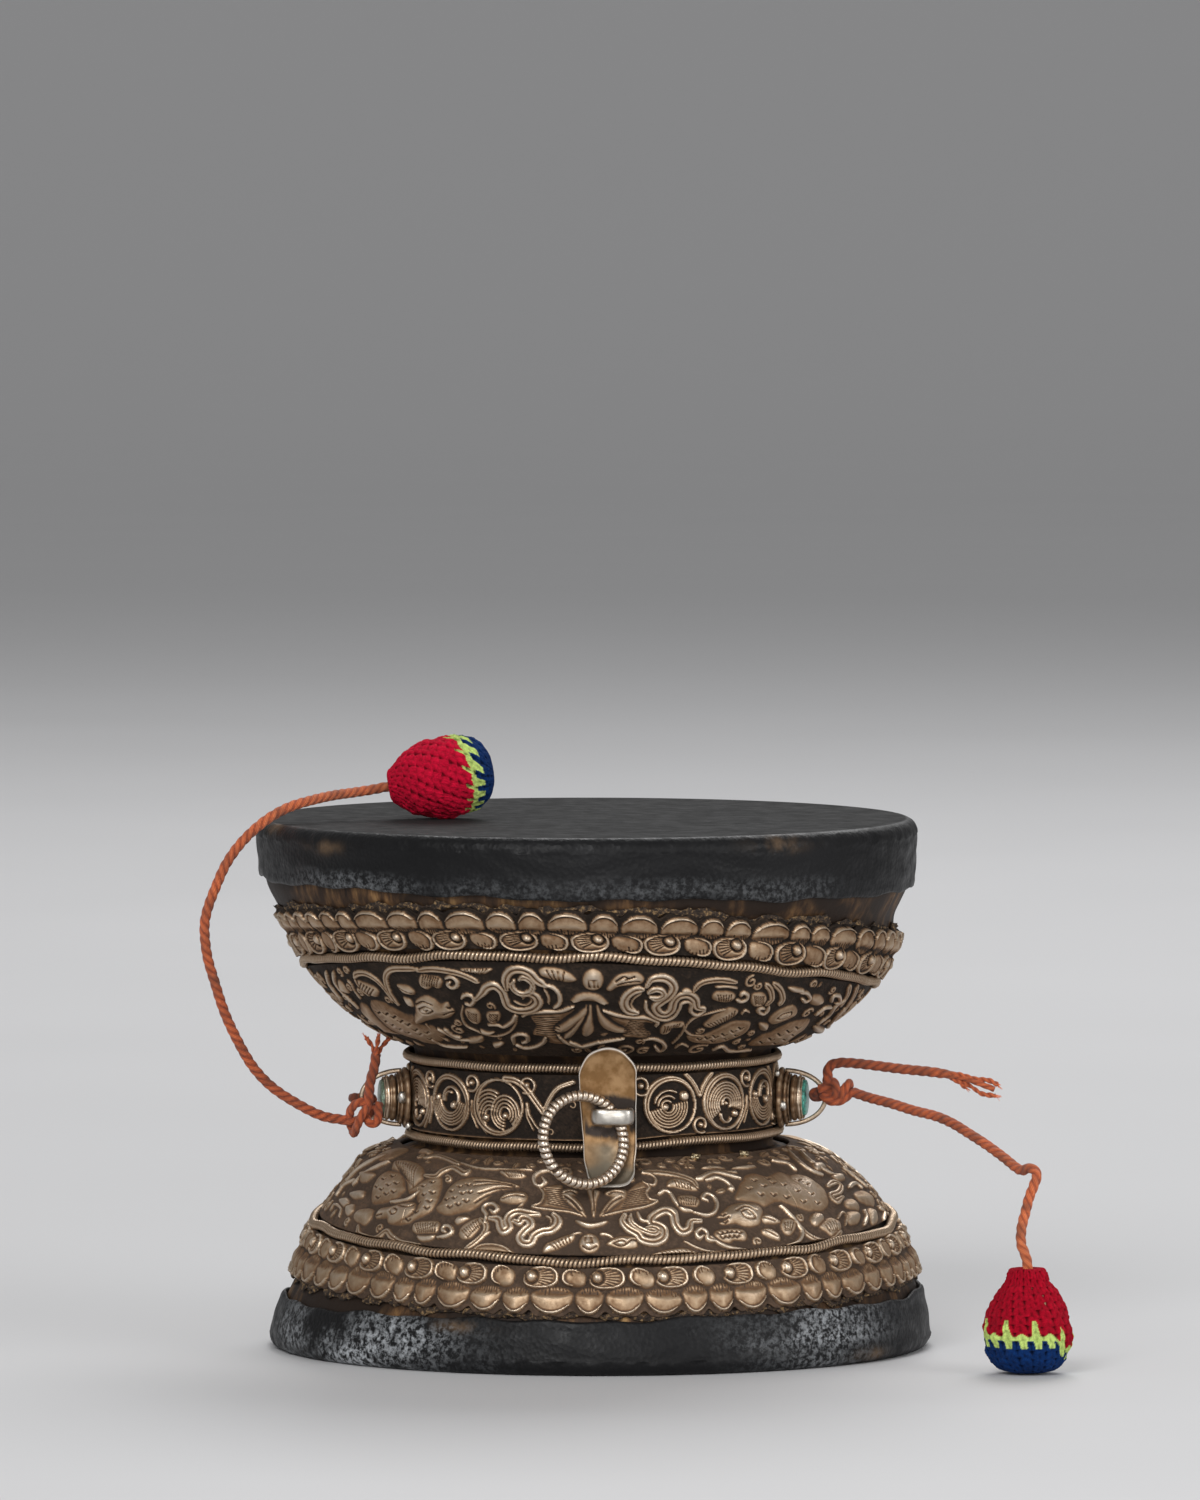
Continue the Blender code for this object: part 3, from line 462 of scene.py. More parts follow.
class Bowl:
    # One half's wooden outside as a curve from the neck to the rim
    def __init__(self, outline, side):
        cover = drum["skin"] + drum["gap"]
        neckZ = drum["waistHeight"] + side * drum["neckRise"]
        self.rimZ = drum["height"] - cover if side > 0 else cover
        shares = np.array(outline)
        corners = np.column_stack([drum["neckRadius"] + (drum["rimRadius"] - drum["neckRadius"]) * shares[:, 0],
                                   neckZ + (self.rimZ - neckZ) * shares[:, 1]])
        self.side = side
        self.line = throughPoints(corners, 32)
        self.run = lengthsAlong(self.line)
        slope = unit(np.gradient(self.line, self.run, axis=0))
        self.normal = side * np.column_stack([slope[:, 1], -slope[:, 0]])

    def at(self, run, off):
        radius = np.interp(run, self.run, self.line[:, 0]) + off * np.interp(run, self.run, self.normal[:, 0])
        height = np.interp(run, self.run, self.line[:, 1]) + off * np.interp(run, self.run, self.normal[:, 1])
        return radius, height

    def spot(self, angle, run, off):
        radius, height = self.at(run, off)
        return onDrum(radius, angle, height)

    def runAtHeight(self, height, off):
        z = self.line[:, 1] + off * self.normal[:, 1]
        return np.interp(self.side * height, self.side * z, self.run)

    def runAtRadius(self, radius):
        return np.interp(radius, self.line[:, 0], self.run)


upperBowl = Bowl(drum["upperOutline"], 1)
lowerBowl = Bowl(drum["lowerOutline"], -1)
# the upper bowl takes the darker copy of the silver, painted shade
upperBowl.finish, lowerBowl.finish = finishes["upperSilver"], finishes["silver"]


# ---- relief beaten into a sheet

class Relief:
    # Heights over a grid of angles (columns) and lengths along the bowl (rows), in metres
    def __init__(self, bowl, angles, runs):
        self.bowl = bowl
        self.angle = angles
        self.run = runs
        self.radius = bowl.at(runs, drum["sheet"])[0]
        self.height = np.zeros_like(runs)
        self.step = angles[1] - angles[0]

    def local(self, path, margin):
        # the window of grid points near a path, and both in millimetres from the path's middle
        middle = 0.5 * (path[:, 0].min() + path[:, 0].max())
        radius = self.bowl.at(path[:, 1], drum["sheet"])[0]
        reach = 0.5 * (path[:, 0].max() - path[:, 0].min()) + margin / radius.min()
        first = int(np.floor((middle - reach - self.angle[0]) / self.step))
        last = int(np.ceil((middle + reach - self.angle[0]) / self.step))
        columns = np.arange(first, last + 1)
        wrapped = columns % len(self.angle)
        runs = self.run[:, wrapped]
        rows = np.flatnonzero((runs.min(axis=1) < path[:, 1].max() + margin)
                              & (runs.max(axis=1) > path[:, 1].min() - margin))
        if len(rows) == 0:
            return None
        pick = np.ix_(rows, wrapped)
        turn = self.angle[0] + columns * self.step - middle
        across = turn[None, :] * self.radius[pick]
        grid = np.stack([across, self.run[pick]], axis=-1).reshape(-1, 2) * 1000.0
        line = np.column_stack([(path[:, 0] - middle) * radius, path[:, 1]]) * 1000.0
        return pick, grid, line, across.shape

    def nearness(self, grid, line, widths, closed=False):
        # distance to the path over its half width there, and the distance itself
        ends = np.vstack([line[1:], line[:1]]) if closed else line[1:]
        starts = line if closed else line[:-1]
        wEnds = np.concatenate([widths[1:], widths[:1]]) if closed else widths[1:]
        wStarts = widths if closed else widths[:-1]
        best = np.full(len(grid), 1e9)
        share = np.zeros(len(grid))
        distance = np.full(len(grid), 1e9)
        count = len(starts)
        for k in range(count):
            edge = ends[k] - starts[k]
            t = np.clip((grid - starts[k]) @ edge / max(edge @ edge, 1e-12), 0.0, 1.0)
            d = np.hypot(*(grid - starts[k] - t[:, None] * edge).T)
            q = d / np.maximum(wStarts[k] + t * (wEnds[k] - wStarts[k]), 1e-6)
            nearer = q < best
            best = np.where(nearer, q, best)
            share = np.where(nearer, (k + t) / count, share)
            distance = np.where(nearer, d, distance)
        return best, share, distance

    def raiseLine(self, path, width, height, kind="round"):
        # a ridge, or a band with raised borders ("twin"), along a path of (angle, length) points
        path = np.asarray(path)
        widths = np.broadcast_to(np.asarray(width, dtype=float), (len(path),)) * 0.5
        found = self.local(path, (widths.max() + 0.5) / 1000.0)
        if found is None:
            return
        pick, grid, line, shape = found
        q, share, distance = self.nearness(grid, line, widths)
        if kind == "twin":
            inside = 1.0 - smooth(0.86, 1.12, q)
            lift = inside * (0.45 + 0.55 * np.exp(-((q - 0.72) / 0.22) ** 2))
        elif kind == "band":
            lift = np.sqrt(np.clip(1.0 - q ** 4, 0.0, 1.0)) * (1.0 - 0.30 * np.exp(-(q / 0.26) ** 2))
        else:
            lift = np.sqrt(np.clip(1.0 - q * q, 0.0, 1.0))
        lift = (lift * height / 1000.0).reshape(shape)
        self.height[pick] = np.maximum(self.height[pick], lift)

    def raiseArea(self, path, height, edge, crown=0.0, grow=0.0):
        # a plump closed shape: rises within `edge` millimetres of its outline, and a little more to its middle
        path = np.asarray(path)
        found = self.local(path, 0.0004 + grow / 1000.0)
        if found is None:
            return
        pick, grid, line, shape = found
        q, share, distance = self.nearness(grid, line, np.ones(len(line)), closed=True)
        distance = np.where(insideOf(grid, line), distance, -distance) + grow
        inside = distance > 0.0
        rise = np.clip(distance / edge, 0.0, 1.0)
        lift = np.sqrt(1.0 - (1.0 - rise) ** 2) * (1.0 - crown) + crown * smooth(0.0, max(distance[inside].max(), edge)
                                                                                if inside.any() else edge, distance)
        lift = np.where(inside, lift * height / 1000.0, 0.0).reshape(shape)
        self.height[pick] = np.maximum(self.height[pick], lift)

    def cutLine(self, path, width, depth):
        # a chased line, only where the sheet already stands up
        path = np.asarray(path)
        widths = np.broadcast_to(np.asarray(width, dtype=float), (len(path),)) * 0.5
        found = self.local(path, (widths.max() + 0.3) / 1000.0)
        if found is None:
            return
        pick, grid, line, shape = found
        q, share, distance = self.nearness(grid, line, widths)
        cut = (np.exp(-q ** 2 * 1.6) * depth / 1000.0).reshape(shape)
        self.height[pick] = np.maximum(self.height[pick] - cut, np.minimum(self.height[pick], 0.0))


def insideOf(grid, line):
    # even-odd crossings of a ray towards +x with the closed outline
    inside = np.zeros(len(grid), dtype=bool)
    ends = np.vstack([line[1:], line[:1]])
    for (ax, ay), (bx, by) in zip(line, ends):
        if ay == by:
            continue
        crosses = (grid[:, 1] > min(ay, by)) & (grid[:, 1] <= max(ay, by))
        x = ax + (grid[:, 1] - ay) * (bx - ax) / (by - ay)
        inside ^= crosses & (grid[:, 0] < x)
    return inside


def blurred(values, passes):
    for _ in range(passes):
        values = 0.25 * np.roll(values, 1, 1) + 0.5 * values + 0.25 * np.roll(values, -1, 1)
        padded = np.vstack([values[:1], values, values[-1:]])
        values = 0.25 * padded[:-2] + 0.5 * values + 0.25 * padded[2:]
    return values


def polishOf(height, full=0.0009):
    # worn share: what stands high and what is convex, less what lies in a hollow
    convex = (height - blurred(height, 4)) / 0.00006
    stand = (height - blurred(height, 24)) / 0.00035
    base = np.clip(height / full, 0.0, 1.0)
    return np.clip(0.06 + 0.56 * base + 0.17 * np.clip(convex, -1.8, 1.1) + 0.18 * np.clip(stand, -1.0, 1.0), 0.0, 1.0)


def sheetPieces(name, relief, finish, baseOff, cuts, stands, slot, seed, full=0.0009):
    # Relief as closed sheets: the worked outer face, its two edges and a plain inner face near the wood,
    # cut into pieces at the given column shares
    rows, columns = relief.height.shape
    dice = np.random.default_rng(seed)
    grain = dice.normal(0.0, 1.0, relief.height.shape)
    grain = grain + 0.5 * (np.roll(grain, 1, 0) + np.roll(grain, 1, 1))
    ground = 1.0 - smooth(0.00008, 0.00030, relief.height)
    outer = baseOff + relief.height + grain * (0.000020 * ground + 0.000004)
    polish = polishOf(relief.height, full)
    polish = np.clip(polish + 0.03 * grain * ground, 0.0, 1.0)
    inner = np.full((4, columns), drum["gap"])
    shares = np.linspace(1.0, 0.0, 4)[:, None]
    innerRuns = relief.run[:1] + (relief.run[-1:] - relief.run[:1]) * shares
    runs = np.vstack([relief.run, innerRuns])
    offs = np.vstack([outer, inner])
    worn = np.vstack([polish, np.zeros((4, columns))])
    angles = np.broadcast_to(relief.angle[None, :], runs.shape)
    points = relief.bowl.spot(angles, runs, offs).transpose(1, 0, 2)
    worn = worn.T
    if not cuts:
        return [sweep(name, points, finish, "drum", closed=True, fields={"polish": worn}, stands=stands, slot=slot)]
    made = []
    marks = [int(round(c * columns)) for c in cuts]
    for k, first in enumerate(marks):
        last = marks[(k + 1) % len(marks)]
        count = (last - first) % columns or columns
        take = (first + np.arange(count + 1)) % columns
        made.append(sweep("%s_%d" % (name, k + 1), points[take], finish, "drum", ends="flat",
                          fields={"polish": worn[take]}, stands=stands if k == 0 else (), slot=slot))
    return made


# ---- jackets, lotus bands and milled wires

jacketGrid = {"columns": 1440, "rows": 150, "lotusColumns": 1560, "lotusRows": 58, "baseOff": 0.0010}


def edgeRuns(bowl, prefix, angles):
    clear = drum["wire"] / 2 + drum["gap"]
    start = bowl.runAtRadius(drum["neckRadius"] + drum["jacketMargin"])
    wire = bowl.runAtHeight(level(drum[prefix + "WireLine"], angles), drum["gap"] + drum["wire"] / 2)
    lotus = bowl.runAtHeight(level(drum[prefix + "LotusEdge"], angles), drum["gap"] + drum["sheet"] / 2)
    return start, wire - clear, wire, wire + clear, lotus


def milledWire(name, path, radius, out, ridges, slant, finish, stands, slot, body="drum"):
    # A round wire rolled with lens-shaped ridges: the radius dips between them, a little earlier on one side
    angle = np.linspace(0.0, 2 * math.pi, 10, endpoint=False)
    count = len(path)
    tangent = unit(np.roll(path, -1, 0) - np.roll(path, 1, 0))
    side = unit(np.cross(tangent, out))
    up = np.cross(side, tangent)
    phase = np.arange(count)[:, None] * (ridges / count) + slant * np.sin(angle)[None, :]
    dip = np.abs(np.sin(math.pi * phase)) ** 0.6
    r = radius * (0.68 + 0.33 * dip)
    rings = path[:, None, :] + r[..., None] * (np.cos(angle)[None, :, None] * up[:, None, :]
                                               + np.sin(angle)[None, :, None] * side[:, None, :])
    wear = 0.04 + 0.84 * dip ** 2 * smooth(-0.9, 0.3, np.cos(angle))[None, :]
    return sweep(name, rings, finish, body, closed=True, fields={"polish": wear}, stands=stands, slot=slot)


def wireOnBowl(bowl, prefix, seed):
    count, ridges = 2160, 432
    angles = np.linspace(0.0, 2 * math.pi, count, endpoint=False)
    run = edgeRuns(bowl, prefix, angles)[2] + ripple(angles, seed, [5, 9, 14, 23], 0.00022)
    path = bowl.spot(angles, run, drum["gap"] + drum["wire"] / 2)
    foot = bowl.spot(angles, run, 0.0)
    milledWire(prefix + "_milled_edge", path, drum["wire"] / 2, unit(path - foot), ridges, 0.30, finishes["wire"],
               (prefix + "_milled_wire",), "silver_wire")


petals = {
    "larger": 0.28,                                # the front's petals are larger than the back's
    "outerHeight": 1.10, "pearl": 1.0, "innerHeight": 0.90,
    # by the bowl's side: outer petals, their half length and taper, inner pairs and their two half sizes
    1: {"full": 0.00125, "outer": 68, "outerHalf": 2.6, "taper": 0.20, "pairs": 35, "comma": (3.75, 2.30), "plain": (3.0, 2.15)},
    -1: {"full": 0.00145, "outer": 72, "outerHalf": 2.75, "taper": 0.36, "pairs": 37, "comma": (3.35, 2.1), "plain": (2.5, 1.9)},
    "pearlAt": {1: (1.65, 2.75), -1: (-1.8, 1.95)},      # from the comma's middle, and from the wire
}


def lotusBand(bowl, prefix, seed):
    # Two rows of petals between the milled wire and the ragged outer edge, each with its own tilt and size
    columns, rows = jacketGrid["lotusColumns"], jacketGrid["lotusRows"]
    angles = np.linspace(0.0, 2 * math.pi, columns, endpoint=False)
    low, high = edgeRuns(bowl, prefix, angles)[3:]
    dice = np.random.default_rng(seed)
    counts = petals[bowl.side]
    widths = dice.uniform(0.72, 1.28, counts["outer"])
    widths *= 2 * math.pi / widths.sum()
    turns = np.cumsum(widths) - widths / 2
    widths = widths * (1.0 + petals["larger"] * np.cos(turns))
    turns = turns + petals["larger"] * np.sin(turns)
    nearest = np.abs((angles[:, None] - turns[None, :] + math.pi) % (2 * math.pi) - math.pi) / (widths / 2)
    notch = 0.0010 * smooth(0.55, 1.0, nearest.min(axis=1))
    edge = high - notch + ripple(angles, seed + 1, [37, 61, 97, 151], 0.00010) + 0.0004
    share = np.linspace(0.0, 1.0, rows)[:, None]
    relief = Relief(bowl, angles, low[None, :] + (edge - low)[None, :] * share)
    spin = np.linspace(0.0, 2 * math.pi, 24, endpoint=False)
    flip = bowl.side

    def oval(turn, run, half, tilt=0.0, square=2.4, taper=0.0):
        # superellipse round a place on the bowl, half sizes in millimetres, narrower outwards by the taper
        c, s = np.cos(spin), np.sin(spin)
        x = half[0] * np.sign(c) * np.abs(c) ** (2 / square)
        y = half[1] * np.sign(s) * np.abs(s) ** (2 / square)
        x = x * (1.0 - taper * np.clip(y / half[1], -0.3, 1.0))
        x, y = x * math.cos(tilt) - y * math.sin(tilt), x * math.sin(tilt) + y * math.cos(tilt)
        here = float(bowl.at(run, drum["sheet"])[0])
        return np.column_stack([turn + x / 1000.0 / here, run + y / 1000.0])

    def at(turn, along, line=low):
        return float(np.interp(turn % (2 * math.pi), angles, line, period=2 * math.pi)) + along / 1000.0

    def spare(turn):
        # millimetres by which the band is wider behind than on its front, shared out between the two rows
        gain = at(turn, 0.0, high) - at(turn, 0.0) - at(0.0, 0.0, high) + at(0.0, 0.0)
        return 1000.0 * max(0.0, gain) * float(smooth(0.3, -0.4, math.cos(turn)))

    def spokes(turn, run, first, last, width, depth):
        # cuts between two rows of points given in millimetres from a place
        here = float(bowl.at(run, drum["sheet"])[0])
        for ends in zip(first, last):
            relief.cutLine([(turn + x / 1000.0 / here, run + y / 1000.0) for x, y in ends], width, depth)

    for turn, width in zip(turns, widths):
        top = at(turn, 0.25, high)
        here = float(bowl.at(top, drum["sheet"])[0])
        half = (width * here * 500.0 - 0.05, counts["outerHalf"] * dice.uniform(0.92, 1.08) + 0.27 * spare(turn))
        tilt = dice.uniform(-0.14, 0.14)
        middle = top - half[1] / 1000.0
        height = petals["outerHeight"] * dice.uniform(0.88, 1.05)
        relief.raiseArea(oval(turn, middle, half, tilt, 2.3, counts["taper"]), height, 0.95, 0.35)
        rim = oval(turn, middle, (half[0] - 0.28, half[1] - 0.28), tilt, 2.3, counts["taper"])[1:12]
        relief.raiseLine(rim, np.sin(np.linspace(0.35, 2.8, 11)) * 0.55, height + 0.06)
        x = np.linspace(-0.82, 0.82, 11) * half[0]
        reach = dice.uniform(0.7, 1.9, 11)
        spokes(turn, middle, np.column_stack([x * 0.86, 0 * x - half[1] * 0.95]), np.column_stack([x, reach - half[1]]),
               0.22, 0.36)
    for k in range(counts["pairs"]):
        turn = (k + dice.uniform(-0.05, 0.05)) * 2 * math.pi / counts["pairs"]
        grow = (1.0 + petals["larger"] * math.cos(turn)) / (1.0 + petals["larger"]) * dice.uniform(0.94, 1.05)
        between = turn + math.pi / counts["pairs"] * (1.0 + dice.uniform(-0.05, 0.05))
        turn, between = (t + petals["larger"] * math.sin(t) for t in (turn, between))
        longer = 0.2 * spare(turn)
        comma = (counts["comma"][0] * grow, counts["comma"][1] + longer)
        run = at(turn, 2.15 + longer)
        here = float(bowl.at(run, drum["sheet"])[0])
        relief.raiseArea(oval(turn, run, comma, 0.06 * flip), petals["innerHeight"] - 0.15, 0.8, 0.15)
        rim = oval(turn, run, (comma[0] - 0.32, comma[1] - 0.32), 0.06 * flip)
        relief.raiseLine(np.vstack([rim, rim[:1]]), 0.62, petals["innerHeight"] + 0.16)
        x, along = petals["pearlAt"][flip]
        pearlTurn, pearlRun = turn + x * grow / 1000.0 / here, at(turn, along + longer)
        a = (math.pi if flip > 0 else 0.0) + np.linspace(-0.62, 0.62, 7)
        spokes(pearlTurn, pearlRun, 1.55 * np.column_stack([np.cos(a), np.sin(a)]),
               np.column_stack([4.0 * grow * np.cos(a), 3.2 * np.sin(a)]), 0.25, 0.28)
        ring = oval(pearlTurn, pearlRun, (petals["pearl"] + 0.26,) * 2, 0.0, 2.0)
        relief.cutLine(np.vstack([ring, ring[:1]]), 0.48, 0.75)
        relief.raiseArea(oval(pearlTurn, pearlRun, (petals["pearl"],) * 2, 0.0, 2.0), 1.30, 0.95)
        plain = (counts["plain"][0] * grow * dice.uniform(0.90, 1.06),
                 counts["plain"][1] * dice.uniform(0.92, 1.06) + longer)
        run = at(between, 2.15 + longer)
        tilt = -flip * dice.uniform(0.15, 0.45)
        relief.raiseArea(oval(between, run, plain, tilt), 0.88, 0.95, 0.25)
        rim = oval(between, run, (plain[0] - 0.35, plain[1] - 0.35), tilt)
        rim = np.roll(rim, 6 if flip > 0 else -6, axis=0)[:14]
        relief.raiseLine(rim, np.sin(np.linspace(0.3, 2.9, 14)) * 0.75, 1.08)
        x = np.linspace(-0.75, 0.75, 7) * plain[0]
        spokes(between, run, np.column_stack([x, 0 * x - plain[1] * 0.9]),
               np.column_stack([x + 0.2, dice.uniform(0.5, 1.4, 7) - plain[1]]), 0.25, 0.24)
    valley = 1.0 - 0.45 * np.exp(-((share - 0.52) / 0.09) ** 2)
    relief.height = relief.height * valley
    sheetPieces(prefix + "_lotus", relief, bowl.finish, jacketGrid["baseOff"], None,
                (prefix + "_lotus_band",), "silver_relief", seed, petals[bowl.side]["full"])
